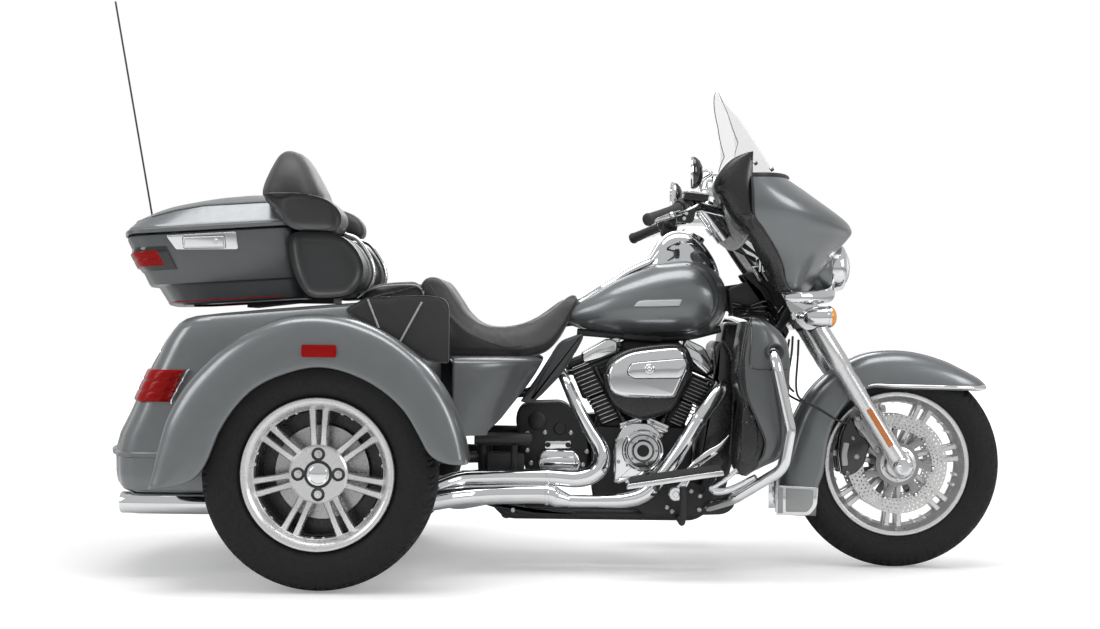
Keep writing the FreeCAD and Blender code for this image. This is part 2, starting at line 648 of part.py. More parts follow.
axle_reach = rear_y - 64
housing = fused(cylinder("differential_radius", "150", (rear_x, -75, rear_z)),
                cylinder("axle_tube_radius", "rear_track - 128", (rear_x, -axle_reach, rear_z)))
frame_room = fused(subframe, mirrored(subframe), strut, mirrored(strut))
spindles = cylinder("axle_radius - 0.3", "rear_track + 136", (rear_x, -rear_y - 68, rear_z))
node("rear_axle", cut(fused(housing, spindles), frame_room))

# ---------------------------------------------------------------- engine
node("crankcase", case)

side_way = V(0, 1, 0)
fins, heads, covers, lifters, pushrods, pushrod_room = [], [], [], [], [], []


def slab_across(up, ahead, distance, length, width, thick, bend):
    """Rounded slab square to a cylinder's axis, at a distance from the crankshaft."""
    base = crank + up * distance
    corners = [(base + ahead * a + side_way * b, bend) for a, b in
               ((-length / 2, -width / 2), (length / 2, -width / 2), (length / 2, width / 2),
                (-length / 2, width / 2))]
    return shape(Part.Face(Part.Wire(edges(corners, True))).extrude(up * thick), "Slab")


start = val("barrel_start")
head_start = start + val("fin_count") * val("fin_pitch") + 6
cover_start = head_start + val("head_length")
for lean_way in (-1, 1):
    up = V(lean_way * sin(half_vee), 0, cos(half_vee))
    ahead = V(cos(half_vee), 0, -lean_way * sin(half_vee))
    fins.append(cylinder("barrel_radius", "fin_count * fin_pitch + 6", tuple(crank + up * start), tuple(up)))
    for count in range(int(round(val("fin_count")))):
        fins.append(slab_across(up, ahead, start + 8 + count * val("fin_pitch"), val("fin_length") * 0.86,
                                val("fin_width"), val("fin_thickness"), 45))
    heads.append(slab_across(up, ahead, head_start, val("fin_length"), val("fin_width") + 14,
                             val("head_length"), 36))
    covers.append(slab_across(up, ahead, cover_start, val("fin_length") * 0.84, val("fin_width"), 30, 24))
    covers.append(slab_across(up, ahead, cover_start + 30, val("fin_length") * 0.7,
                              val("fin_width") - 24, 12, 22))
    middle = crank.x + lean_way * 62
    lifters.append(plate([(middle - 34, crank.z + 90, 8), (middle + 34, crank.z + 90, 8),
                          (middle + 30, crank.z + 142, 8), (middle - 30, crank.z + 142, 8)], -104, -76))
    for step in (-1, 1):
        foot = V(middle + step * 17, -val("pushrod_y"), crank.z + 138)
        top = crank + up * (head_start + 10) + ahead * (step * 40) - side_way * 64
        rise = top - foot
        pushrods.append(cylinder("pushrod_radius", f"{rise.Length}", tuple(foot), tuple(rise)))
        pushrod_room.append(cylinder("pushrod_radius + 1", f"{rise.Length}", tuple(foot), tuple(rise)))
head_union = fused(*heads)
finned = cut(fused(*fins), case, fused(*pushrod_room))
barrel_union = node("cylinders", finned, head_union)
node("rocker_covers", cut(fused(*covers), backbone))

air_y = val("air_cleaner_y")
AIR_COVER = [(-118, 158, 50), (-60, 262, 60), (62, 300, 40), (150, 268, 50), (150, 196, 40), (84, 150, 30),
             (-40, 138, 40)]
intake = pad(AIR_COVER, "air_cleaner_depth", (crank.x, -air_y, crank.z))
backplate = plate([(crank.x - 134, crank.z + 152, 50), (crank.x - 66, crank.z + 272, 60),
                   (crank.x + 62, crank.z + 312, 40), (crank.x + 164, crank.z + 276, 50),
                   (crank.x + 164, crank.z + 188, 40), (crank.x + 88, crank.z + 138, 30),
                   (crank.x - 46, crank.z + 126, 40)], -air_y, -air_y + val("backplate_thickness"))
panel_y = -air_y - val("air_cleaner_depth")
panel = plate([(crank.x - 52, crank.z + 190, 18), (crank.x - 20, crank.z + 250, 20),
               (crank.x + 112, crank.z + 250, 20),
               (crank.x + 112, crank.z + 200, 18)], panel_y - 4, panel_y)
throat = cylinder("34", "air_cleaner_y - 60", (crank.x + 4, -60, crank.z + 226), (0, -1, 0))
node("air_cleaner", cut(fused(intake, backplate, panel, throat), barrel_union))

cam_base = pad([(-96, -118, 20), (20, -142, 30), (96, -50, 40), (96, 60, 40), (40, 118, 30), (-40, 118, 30),
                (-92, 60, 30)], "34", (crank.x, -case_half, crank.z))
timing_disc = cylinder("62", "12", (crank.x, -case_half - 34, crank.z), (0, -1, 0))
timing_cap = cylinder("44", "16", (crank.x, -case_half - 34, crank.z), (0, -1, 0))
node("cam_cover", cam_base, timing_disc, timing_cap)
lifter_union = cut(fused(*lifters), case, cam_base, finned)
node("pushrod_tubes", lifter_union, cut(fused(*pushrods), head_union, lifter_union))
primary = pad([(-330, -70, 60), (-330, 60, 60), (-240, 92, 60), (90, 120, 90), (150, 60, 90), (150, -60, 90),
               (90, -120, 90), (-240, -84, 60)], "96", (crank.x, case_half + 96, crank.z - 14))
node("primary_cover", primary)
clutch_cover = pad([(-292, -70, 20), (-178, -70, 20), (-170, 40, 30), (-200, 66, 20), (-276, 66, 20),
                    (-300, 20, 30)], "24", (crank.x, -case_half + 5, crank.z))
node("transmission", cut(fused(gearbox, clutch_cover), case, primary, cradle, mirrored(cradle)))

def shielded(route, first, last):
    """Exhaust pipe with a wider heat shield between the middles of two of its runs."""
    corners = [V(*corner[:3]) for corner in route]
    begin = (corners[first] + corners[first + 1]) / 2
    finish = (corners[last] + corners[last + 1]) / 2
    covered = [(*begin, 0), *route[first + 1:last + 1], (*finish, 0)]
    return fused(tube(route, "exhaust_radius"), tube(covered, "heat_shield_radius"))


pipe_y, muffler_y, muffler_z = 224, val("muffler_y"), val("muffler_height")
front_pipe = shielded([(crank.x + 184, -56, 592, 0), (crank.x + 236, -190, 560, 40),
                       (crank.x + 176, -pipe_y, 420, 60), (crank.x + 40, -pipe_y, 232, 60),
                       (-20, -pipe_y, 216, 60), (-250, -240, 216, 60), (-330, -330, 216, 80),
                       (-420, -muffler_y, muffler_z, 60), (-470, -muffler_y, muffler_z, 0)], 1, 4)
rear_pipe = shielded([(crank.x - 184, -56, 600, 0), (crank.x - 226, -164, 596, 30),
                      (crank.x - 178, -226, 500, 60), (crank.x - 110, -226, 360, 60),
                      (crank.x - 160, -226, 290, 50), (-20, -226, 264, 60), (-120, -226, 228, 0)], 1, 3)
muffler = cylinder("muffler_radius", "770", (-440, -muffler_y, muffler_z), (-1, 0, 0))
left_pipe = tube([(-250, -240, 216, 0), (-310, -150, 216, 60), (-310, 150, 216, 60), (-330, 330, 216, 80),
                  (-420, muffler_y, muffler_z, 60), (-470, muffler_y, muffler_z, 0)], "exhaust_radius")
pipes = fused(front_pipe, rear_pipe, left_pipe, muffler, mirrored(muffler))
node("exhaust", cut(pipes, barrel_union, case, cradle))

# ---------------------------------------------------------------- tank, console, seat
tank_rear = 46
TANK = [            # share of length, bottom, shoulder height, top, share of half width
    (0.00, 738, 752, 760, 0.24), (0.16, 712, 770, 820, 0.52), (0.42, 700, 800, 890, 0.82),
    (0.66, 692, 820, 932, 1.00), (0.84, 694, 830, 930, 0.96), (0.95, 712, 830, 896, 0.72),
    (1.00, 770, 820, 850, 0.34),
]


def tank_section(x, low, shoulder, high, half):
    """Rounded section of the fuel tank across the machine."""
    bend = min(half, high - low) * 0.42
    return ring([(-half * 0.55, low, bend * 0.4), (half * 0.55, low, bend * 0.4), (half, shoulder, bend),
                 (half * 0.42, high, bend * 0.5), (-half * 0.42, high, bend * 0.5), (-half, shoulder, bend)],
                "X", x)


tank_half = val("tank_half_width")
tank_solid = loft([tank_section(tank_rear + share * val("tank_length"), low, shoulder, high,
                                part * tank_half)
                   for share, low, shoulder, high, part in TANK])
tunnel = plate([(-100, 560), (700, 560), (700, 880), (440, 872), (40, 792), (-100, 730)],
               -val("tunnel_half_width"), val("tunnel_half_width"))
console = plate([(118, 820), (207, 884, 40), (273, 924, 20), (318, 962, 40), (352, 1006, 40),
                 (398, 1022, 50),
                 (446, 1008, 40), (496, 950, 30), (520, 884), (480, 880), (200, 800), (118, 780)], -58, 58)
rocker_room = plate([(40, 640), (540, 640), (540, 730), (40, 730)], -88, 88)
node("fuel_tank", cut(tank_solid, tunnel, rocker_room, console))
node("tank_console", cut(console, tunnel))

SEAT = [            # X, bottom, top, half width
    (-524, 792, 824, 120), (-480, 792, 848, 185), (-390, 792, 862, 190), (-330, 700, 884, 190),
    (-262, 640, 806, 195), (-190, 640, 736, 195), (-110, 640, 736, 180), (-40, 652, 780, 130),
    (24, 680, 826, 84), (84, 780, 856, 62),
]


def seat_section(x, low, high, half):
    """Rounded section of the seat."""
    bend = min(34, (high - low) * 0.35)
    return ring([(-half, low, 8), (half, low, 8), (half, high - 12, bend), (half * 0.5, high, bend),
                 (-half * 0.5, high, bend), (-half, high - 12, bend)], "X", x)


seat_solid = loft([seat_section(*row) for row in SEAT], True)

# ---------------------------------------------------------------- trunk, door and fenders
trunk_half = val("trunk_half_width")
TRUNK = [            # height, rear X, front X (from the rear axle), extra bow of the middle
    (250, -500, 250, 30), (270, -588, 250, 66), (330, -602, 250, 74), (460, -552, 250, 70),
    (600, -500, 250, 66), (700, -455, 250, 52), (748, -425, 240, 40), (784, -160, 150, 10),
]


def trunk_section(z, back, ahead, middle, inset):
    """Plan section of the trunk body: bowed rear, straight sides."""
    side = trunk_half - inset
    back, ahead = rear_x + back + inset, rear_x + ahead - inset
    return ring([(ahead, -side), (ahead, side), (back + 26, side, 20), (back, side - 60, 60),
                 (back - middle, side * 0.35, 200), (back - middle, -side * 0.35, 200),
                 (back, -side + 60, 60), (back + 26, -side, 20)], "Z", z)


wall = val("panel_wall")
trunk_outer = loft([trunk_section(*row, 0) for row in TRUNK], True)
inner_trunk = [(row[0] + (wall if index == 0 else 0) - (wall + 4 if index == len(TRUNK) - 1 else 0),
                *row[1:])
               for index, row in enumerate(TRUNK)]
trunk_hollow = loft([trunk_section(*row, wall) for row in inner_trunk], True)
door_low, door_high, door_side = 292, 640, 330
aperture = box(rear_x - 760, -door_side, door_low, "420", "2 * 330", "348")
door_block = box(rear_x - 760, -door_side + gap, door_low + gap, "420", "2 * 330 - 2 * gap", "348 - 2 * gap")
door_hollow = loft([trunk_section(*row, val("door_wall")) for row in inner_trunk], True)
door_slab = cut(common(door_block, trunk_outer), door_hollow)
axle_tunnel = box(rear_x - 130, -trunk_half + 30, 200, "400", "2 * trunk_half_width - 60", "260")
axle_holes = cylinder("axle_tube_radius + 50", "2 * trunk_half_width + 2", (rear_x, -trunk_half - 1, rear_z))
tunnel_skin = plate([(rear_x - 136, 256), (rear_x - 136, 466), (rear_x + 244, 466), (rear_x + 244, 460),
                     (rear_x - 130, 460), (rear_x - 130, 256)], -trunk_half + wall - 1,
                     trunk_half - wall + 1)
hinge_x, hinge_z = rear_x - 548, door_high - gap / 2
knuckles, leaves = [], []
for side in (-1, 1):
    low = side * 200 - 40
    knuckles.append(cylinder("hinge_radius", "39.7", (hinge_x, low, hinge_z)))
    knuckles.append(box(hinge_x, low, hinge_z + 1, "44", "39.7", "6"))
    leaves.append(cylinder("hinge_radius", "40", (hinge_x, low + 40, hinge_z)))
    leaves.append(box(hinge_x, low + 40, hinge_z - 7, "44", "40", "6"))
body_shell = cut(fused(cut(trunk_outer, trunk_hollow, axle_tunnel, axle_holes), tunnel_skin), aperture)
node("rear_body", fused(body_shell, *knuckles))
node("trunk_door", fused(door_slab, *leaves))

fender_centre = (rear_x - val("fender_setback"), 0, rear_z)
outer_r, open_r = val("fender_radius"), val("fender_opening")
edge_round = val("fender_edge_round")
outer_y = val("fender_outer_y")


def fender_profile(inset):
    """Cross-section (radius, y) of a rear fender, crown and outer cheek."""
    low = open_r - (20 if inset else 0)
    return [(low, -trunk_half - seat_gap), (outer_r - 14 - inset, -trunk_half - seat_gap),
            (outer_r - inset, -trunk_half - 90, 60), (outer_r - inset, -outer_y + inset, edge_round),
            (low, -outer_y + inset)]


fender_solid = cut(turned(fender_profile(0), fender_centre), turned(fender_profile(skin), fender_centre))
fender_mask = plate(rear([(-470, -40), (-470, 900), (430, 900), (400, 360), (262, 330), (-272, 290),
                          (-330, 262), (-470, 262)]), -outer_y - 5, -trunk_half + 5)
fender = common(fender_solid, fender_mask)
node("rear_fenders", cut(fused(fender, mirrored(fender)), trunk_outer))

SKIRT = [            # height, nose X, nose half width, bulge of the flank
    (408, -170, 372, 6), (440, -150, 348, 12), (520, -96, 296, 26), (600, -36, 238, 34), (622, -22, 228, 30),
    (646, -60, 214, 6),
]
skirt_back = -250


def skirt_section(z, nose, half, bulge):
    """Bowed plan section of the panel ahead of a rear wheel."""
    begin, finish = V(skirt_back, -trunk_half, z), V(nose, -half, z)
    across = V(finish.y - begin.y, begin.x - finish.x, 0).normalize()
    middle = (begin + finish) / 2 + across * bulge
    shift = V(0, wall, 0)
    return Part.Wire([Part.Arc(begin, middle, finish).toShape(),
                      Part.LineSegment(finish, finish + shift).toShape(),
                      Part.Arc(finish + shift, middle + shift, begin + shift).toShape(),
                      Part.LineSegment(begin + shift, begin).toShape()])


skirt = loft([skirt_section(*row) for row in SKIRT], True)
node("side_skirts", cut(fused(skirt, mirrored(skirt)), trunk_outer))
side_cover = plate([(108, 700, 20), (40, 676, 30), (-30, 560, 40), (-78, 506, 10), (-34, 502, 20),
                    (58, 580, 40),
                    (104, 640, 30)], -206, -200)
node("side_covers", side_cover, mirrored(side_cover))
seat_piece = cut(seat_solid, trunk_outer, tank_solid, backbone, cradle, mirrored(cradle), strut,
                 mirrored(strut))
node("seat", seat_piece)

lamp_block = plate(rear([(-560, 484), (-340, 484), (-360, 600), (-560, 600)]), -trunk_half - 8,
                   -door_side - gap)
fender_block = cylinder("fender_radius", "400", (fender_centre[0], -trunk_half, rear_z), (0, -1, 0))
tail_lamp = cut(common(loft([trunk_section(row[0], row[1] - 8, row[2], row[3],
                                           -8) for row in TRUNK[2:6]], True),
                       lamp_block), trunk_outer, fender_block)
marker = box(rear_x - 44, -outer_y - 6, 632, "92", "5.7", "34")
# ---------------------------------------------------------------- luggage box on the trunk
box_corner = V(rear_x - 510, 0, 768)
box_turn = FreeCAD.Placement(box_corner, FreeCAD.Rotation(V(0, 1, 0), -val("box_tilt")))
BOX = [              # height, rear, front, half width
    (0, 12, 408, 212), (62, -20, 400, 252), (116, -58, 396, 276), (190, -90, 392, 290), (206, -92, 391, 291),
]
LID = [
    (211, -92, 391, 292), (232, -94, 386, 292), (262, -52, 352, 276), (288, 10, 330, 246),
    (304, 90, 322, 200),
]


def box_section(w, back, ahead, half, inset):
    """Plan section of the luggage box with a bowed rear."""
    half, back, ahead = half - inset, back + inset, ahead - inset
    return ring([(ahead, -half, 40), (ahead, half, 40), (back + 20, half, 30), (back - 12, half * 0.72, 60),
                 (back - 44, half * 0.3, 120), (back - 44, -half * 0.3, 120), (back - 12, -half * 0.72, 60),
                 (back + 20, -half, 30)], "Z", w)


def tilted(part):
    """Turn a piece made in the box's own frame onto the machine."""
    part.Placement = box_turn
    return part


def shell(rows, floor_gap, roof_gap):
    """Outer solid and the hollow inside it."""
    inner = [(row[0] + (floor_gap if index == 0 else 0) + (roof_gap if index == len(rows) - 1 else 0),
              *row[1:])
             for index, row in enumerate(rows)]
    return (tilted(loft([box_section(*row, 0) for row in rows], True)),
            tilted(loft([box_section(*row, wall) for row in inner], True)))


box_outer, box_hollow = shell(BOX, wall, 1)
lid_outer, lid_hollow = shell(LID, -1, -wall)
hinge_w, hinge_y = 208, val("box_half_width") + 5
lamp_proud = 4


def lid_hinge(start, way):
    """Knuckle with its leaf, on the box or (way 1) on the lid, in the box's own frame."""
    barrel = cylinder("hinge_radius", "59.7", (start, hinge_y, hinge_w), (1, 0, 0))
    leaf_low = hinge_w + (1 if way > 0 else -15)
    leaf = box(start, hinge_y - 10, leaf_low, "59.7", "10", "14")
    return tilted(fused(barrel, leaf))


box_knuckles = [lid_hinge(start, -1) for start in (60, 260)]
lid_knuckles = [lid_hinge(start, 1) for start in (120, 200)]
mast_bracket = cut(box(rear_x - 664, 188, 948, "70", "24", "14"), box_hollow)
node("tour_box", fused(cut(box_outer, box_hollow), *box_knuckles, mast_bracket))
lamp_band = tilted(plate([(-140, 128), (10, 128), (10, 172), (-140, 172)], -400, 400))
box_lamps = cut(common(tilted(loft([box_section(*row, -lamp_proud) for row in BOX[1:4]], True)), lamp_band),
                box_outer)
node("rear_lamps", tail_lamp, mirrored(tail_lamp), marker, mirrored(marker), box_lamps)
lid_pad = plate([(-830, 1060, 10), (-806, 1190, 40), (-790, 1298, 16), (-750, 1298, 16), (-716, 1160, 40),
                 (-660, 1110, 20), (-676, 1060, 10)], -105, 105)
arm = plate([(-819, 1092, 10), (-785, 1053, 20), (-735, 994, 10), (-579, 994, 20), (-590, 1050, 30),
             (-646, 1082, 30)], -286, -196)
wrap = plate([(-819, 1092, 10), (-785, 1053, 20), (-735, 994, 10), (-690, 994, 10), (-700, 1082, 10)],
             -200, 200)
pad_clear = cut(fused(lid_pad, wrap, arm, mirrored(arm)), lid_outer, box_outer)
node("tour_lid", fused(cut(lid_outer, lid_hollow), *lid_knuckles))
node("lid_backrest", pad_clear)
pod = plate([(-742, 812, 20), (-556, 815, 30), (-520, 890, 40), (-560, 986, 30), (-742, 984)], -292, -150)
node("speaker_pods", cut(fused(pod, mirrored(pod)), box_outer, lid_outer))
mount = plate([(-900, 760), (-640, 770), (-640, 800), (-900, 800)], -90, 90)
node("luggage_mount", cut(mount, box_outer, trunk_outer))
mast_foot = (rear_x - 646, 200, 962 + 8 * sin(radians(val("antenna_lean"))) + seat_gap)
mast_lean = radians(val("antenna_lean"))
mast_way = (-sin(mast_lean), 0, cos(mast_lean))
node("antenna", cylinder("antenna_radius", "antenna_length + 92", mast_foot, mast_way),
     cylinder("8", "56", mast_foot, mast_way))

# ---------------------------------------------------------------- guard, lowers, boards
guard = tube([(front_x - 590, -166, 190, 0), (front_x - 520, -330, 236, 60), (front_x - 396, -430, 330, 60),
              (front_x - 378, -436, 440, 60), (front_x - 424, -430, 640, 60), (front_x - 430, -300, 700, 60),
              (front_x - 452, -118, 604, 0)], "guard_tube_radius")
node("engine_guard", cut(fused(guard, mirrored(guard)), cradle, mirrored(cradle)))
LOWER = [            # height, rear X, front X (from the front axle), outer half width
    (300, -560, -470, 330), (380, -520, -440, 390), (480, -500, -412, 404), (600, -500, -412, 404),
    (690, -490, -430, 400), (752, -480, -455, 380),
]


def lower_section(z, back, ahead, half, inset):
    """Plan section of a leg shield."""
    back = back - inset * 3
    return ring([(front_x + back, -half + inset), (front_x + ahead - inset, -half + inset, 20),
                 (front_x + ahead - inset, -180 - inset), (front_x + back, -180 - inset)], "Z", z)


lower_outer = loft([lower_section(*row, 0) for row in LOWER], True)
lower_hollow = loft([lower_section(*row, skin) for row in LOWER], True)
lower = cut(lower_outer, lower_hollow, guard)
node("lower_fairings", lower, mirrored(lower))
glove_box = plate([(566, 690, 10), (560, 567, 20), (588, 505, 30), (626, 456, 30), (634, 420, 20),
                   (640, 420),
                   (640, 690)], -390, -184 - skin - seat_gap)
lower_inner = cut(common(glove_box, lower_hollow), guard)
node("lower_inners", lower_inner, mirrored(lower_inner))
board = box(250, -400, 268, "board_length", "board_width", "board_thickness")
node("floorboards", board, mirrored(board))
pedal = tube([(480, -180, 200, 0), (566, -250, 236, 30), (572, -300, 320, 0)], "8")
node("foot_controls", cut(fused(pedal, mirrored(pedal)), cradle, mirrored(cradle), guard, mirrored(guard)))

# ---------------------------------------------------------------- check and write
doc.recompute()
os.makedirs("parts", exist_ok=True)
for item in doc.Objects:
    if "Invalid" in item.State or "Error" in item.State:
        raise RuntimeError(f"{item.Name} did not build: {item.State}")
for label, item in nodes.items():
    if item.Shape.isNull() or not item.Shape.isValid():
        raise RuntimeError(f"{label} has no valid shape")
for label, item in nodes.items():
    item.Shape.exportStep(os.path.join("parts", f"{label}.step"))
print(len(nodes), "sub-parts written")
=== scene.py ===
# %% [markdown]
# # A touring trike, dressed around its measured frame
# The machine has one wheel in front and two behind, a wide fairing, a tank, a long seat and a luggage box
# over the rear body. Its measured parts come in as a fixed frame, and each cell below builds one visible
# piece around them. Millimetres are easier to think in than metres for a machine of this size, so shapes are
# worked out in millimetres and scaled once, when a mesh is made.

# %% The frame and its two axles
import bmesh
import bpy
import numpy as np
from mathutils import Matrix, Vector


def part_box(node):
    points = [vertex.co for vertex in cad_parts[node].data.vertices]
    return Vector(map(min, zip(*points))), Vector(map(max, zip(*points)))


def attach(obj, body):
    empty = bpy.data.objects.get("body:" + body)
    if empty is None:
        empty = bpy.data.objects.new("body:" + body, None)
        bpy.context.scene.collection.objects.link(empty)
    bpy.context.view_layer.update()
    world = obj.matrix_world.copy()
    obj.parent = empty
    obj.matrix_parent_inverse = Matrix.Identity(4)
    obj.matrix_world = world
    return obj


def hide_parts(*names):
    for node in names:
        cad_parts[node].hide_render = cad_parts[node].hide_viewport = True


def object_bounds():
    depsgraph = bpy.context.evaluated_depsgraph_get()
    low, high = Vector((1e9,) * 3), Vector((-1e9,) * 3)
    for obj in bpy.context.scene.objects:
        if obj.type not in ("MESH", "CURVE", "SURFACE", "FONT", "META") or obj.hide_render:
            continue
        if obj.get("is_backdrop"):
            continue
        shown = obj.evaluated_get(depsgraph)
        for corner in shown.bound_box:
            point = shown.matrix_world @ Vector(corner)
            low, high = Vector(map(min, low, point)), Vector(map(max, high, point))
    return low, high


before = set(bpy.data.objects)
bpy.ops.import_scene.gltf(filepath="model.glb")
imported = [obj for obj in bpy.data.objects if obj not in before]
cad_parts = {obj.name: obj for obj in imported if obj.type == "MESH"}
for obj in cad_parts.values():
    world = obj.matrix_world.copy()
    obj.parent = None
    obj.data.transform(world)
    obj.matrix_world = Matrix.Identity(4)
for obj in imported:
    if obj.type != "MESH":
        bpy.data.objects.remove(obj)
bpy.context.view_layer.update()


def middle(node):
    """Centre of a measured node's box, in millimetres."""
    low, high = (np.array(corner) * 1000 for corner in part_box(node))
    return (low + high) / 2


front_axle = middle("front_tyre")
rear_axle = middle("right_rear_tyre") * (1, 0, 1)
rear_y = abs(middle("right_rear_tyre")[1])
print("front axle", front_axle.round(), "rear axle", rear_axle.round(), "rear wheels at", round(rear_y))

# %% [markdown]
# ## Finishes
# Every finish is a small network of nodes on Object coordinates, so its grain has the same size all over the
# machine and never slides. One builder makes them all: a fine noise mixes two close colours, another noise
# moves the roughness inside a narrow band, and a third lifts a bump. Values that are the same everywhere stay
# on the shader itself. This is simpler than painting textures.

# %% A builder for finishes
finishes = {}


def finish(name, colour, second=None, metallic=0.0, rough=(0.3, 0.4), patch=60.0, grain=900.0, depth=0.0,
           cells=False, **shader):
    """Principled shader: colour, roughness and bump come from noises on Object coordinates (per metre)."""
    material = bpy.data.materials.new(name)
    material.use_nodes = True
    nodes, links = material.node_tree.nodes, material.node_tree.links
    surface = nodes["Principled BSDF"]
    place = nodes.new("ShaderNodeTexCoord").outputs["Object"]

    def noise(scale, detail=3.0):
        node = nodes.new("ShaderNodeTexNoise")
        node.inputs["Scale"].default_value = scale
        node.inputs["Detail"].default_value = detail
        links.new(place, node.inputs["Vector"])
        return node.outputs["Fac"]

    blend = nodes.new("ShaderNodeMix")
    blend.data_type = "RGBA"
    links.new(noise(patch), blend.inputs["Factor"])
    blend.inputs["A"].default_value = (*colour, 1)
    blend.inputs["B"].default_value = (*(second or [c * 0.85 for c in colour]), 1)
    links.new(blend.outputs["Result"], surface.inputs["Base Color"])
    band = nodes.new("ShaderNodeMapRange")
    links.new(noise(patch * 2.3), band.inputs["Value"])
    band.inputs["From Min"].default_value = 0.3
    band.inputs["From Max"].default_value = 0.7
    band.inputs["To Min"].default_value, band.inputs["To Max"].default_value = rough
    links.new(band.outputs["Result"], surface.inputs["Roughness"])
    if depth:
        if cells:
            texture = nodes.new("ShaderNodeTexVoronoi")
            texture.inputs["Scale"].default_value = grain
            links.new(place, texture.inputs["Vector"])
            height = texture.outputs["Distance"]
        else:
            height = noise(grain, 2.0)
        bump = nodes.new("ShaderNodeBump")
        bump.inputs["Strength"].default_value = 0.6
        bump.inputs["Distance"].default_value = depth
        links.new(height, bump.inputs["Height"])
        links.new(bump.outputs["Normal"], surface.inputs["Normal"])
    surface.inputs["Metallic"].default_value = metallic
    for socket, value in shader.items():
        surface.inputs[socket.replace("_", " ")].default_value = value
    finishes[name] = material
    return material


paint = finish("satin_grey_paint", (0.188, 0.200, 0.206), (0.168, 0.179, 0.185), metallic=0.55,
               rough=(0.28, 0.34), patch=25, Coat_Weight=0.5, Coat_Roughness=0.1)
# A darker copy of the same grey paint. It is painted shade for the luggage box, the side skirts and the leg
# shields, which carry the one paint of the machine.
shaded_paint = finish("painted_shade_grey_paint", (0.118, 0.126, 0.130), (0.105, 0.112, 0.116), metallic=0.5,
                    rough=(0.30, 0.36), patch=25, Coat_Weight=0.4, Coat_Roughness=0.12)
chrome = finish("chrome_plate", (0.80, 0.81, 0.82), (0.76, 0.77, 0.78), metallic=1.0, rough=(0.04, 0.08),
                patch=12)
black_metal = finish("black_wrinkle_metal", (0.014, 0.014, 0.015), (0.022, 0.022, 0.023), metallic=0.2,
                     rough=(0.38, 0.5), patch=140, grain=1600, depth=0.0001, cells=True)
gloss_black = finish("gloss_black", (0.010, 0.010, 0.011), metallic=0.0, rough=(0.12, 0.2), patch=30,
                     Coat_Weight=0.6, Coat_Roughness=0.06)
satin_black = finish("satin_black", (0.012, 0.012, 0.013), (0.017, 0.017, 0.018), rough=(0.24, 0.34),
                     patch=40, Coat_Weight=0.25, Coat_Roughness=0.2)
engine_silver = finish("cast_engine_silver", (0.42, 0.42, 0.42), (0.34, 0.34, 0.35), metallic=0.9,
                       rough=(0.28, 0.4), patch=120, grain=1200, depth=0.00008)
wheel_silver = finish("wheel_silver", (0.74, 0.74, 0.74), (0.68, 0.68, 0.69), metallic=0.8,
                      rough=(0.26, 0.34), patch=60)
steel = finish("brushed_steel", (0.50, 0.50, 0.49), (0.42, 0.42, 0.42), metallic=1.0, rough=(0.22, 0.34),
               patch=180)
rubber = finish("tyre_rubber", (0.0085, 0.0085, 0.0085), (0.013, 0.013, 0.013), rough=(0.62, 0.8), patch=60,
                grain=1800, depth=0.0001, Specular_IOR_Level=0.3)
black_plastic = finish("grained_black_plastic", (0.016, 0.016, 0.017), (0.022, 0.022, 0.023),
                       rough=(0.4, 0.52), patch=60, grain=1500, depth=0.00012, cells=True)
vinyl = finish("seat_vinyl", (0.020, 0.020, 0.021), (0.030, 0.029, 0.030), rough=(0.42, 0.55), patch=18,
               grain=700, depth=0.0004, cells=True, Sheen_Weight=0.15, Sheen_Roughness=0.5)
red_lens = finish("red_lens", (0.34, 0.003, 0.003), (0.24, 0.002, 0.002), rough=(0.1, 0.16), patch=220,
                  grain=260, depth=0.0004, cells=True, Coat_Weight=0.08, Specular_IOR_Level=0.12)
amber_lens = finish("amber_lens", (0.95, 0.36, 0.02), (0.80, 0.26, 0.01), rough=(0.1, 0.16), patch=200,
                    grain=300, depth=0.0005, cells=True, Coat_Weight=0.8, Coat_Roughness=0.04)
clear_screen = finish("clear_screen", (0.26, 0.27, 0.28), (0.22, 0.23, 0.24), rough=(0.02, 0.04), patch=8,
                      Alpha=0.075, Coat_Weight=0.6, Coat_Roughness=0.02)
lamp_glass = finish("lamp_glass", (0.95, 0.96, 0.97), (0.92, 0.93, 0.94), rough=(0.02, 0.05), patch=90,
                    grain=160, depth=0.0008, Transmission_Weight=1.0, IOR=1.25)
grip_rubber = finish("grip_rubber", (0.018, 0.018, 0.018), (0.028, 0.028, 0.028), rough=(0.55, 0.7),
                     patch=160, grain=500, depth=0.0004, cells=True)
print(len(finishes), "finishes")

# %% [markdown]
# ## The measured nodes get finishes
# Most measured nodes are replaced further down by finer skins of the same form. Eight already look right as
# solids, so they stay as they are and only take a finish. This table says which.

# %% Finish on each measured node that stays
NODE_FINISH = [
    (chrome, "handlebar engine_guard"),
    (black_metal, "frame rear_axle primary_cover fork_crowns luggage_mount"),
    (black_plastic, "antenna"),
]
for material, names in NODE_FINISH:
    for name in names.split():
        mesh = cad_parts[name].data
        mesh.materials.clear()
        mesh.materials.append(material)
print("finished nodes:", sum(len(names.split()) for _, names in NODE_FINISH), "of", len(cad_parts))

# %% [markdown]
# ## Surfaces from numbers
# Nearly everything on this machine is one of four surfaces: a profile spun round an axle, a bar carried along
# a path, a slab with a rounded rim, or a skin stretched over a few cross-sections. Each is worked out as a
# whole grid of points, and a grid turns into faces in the same way every time. That keeps the pieces short to
# write.

# %% Smooth lines
X, Y, Z = np.eye(3)


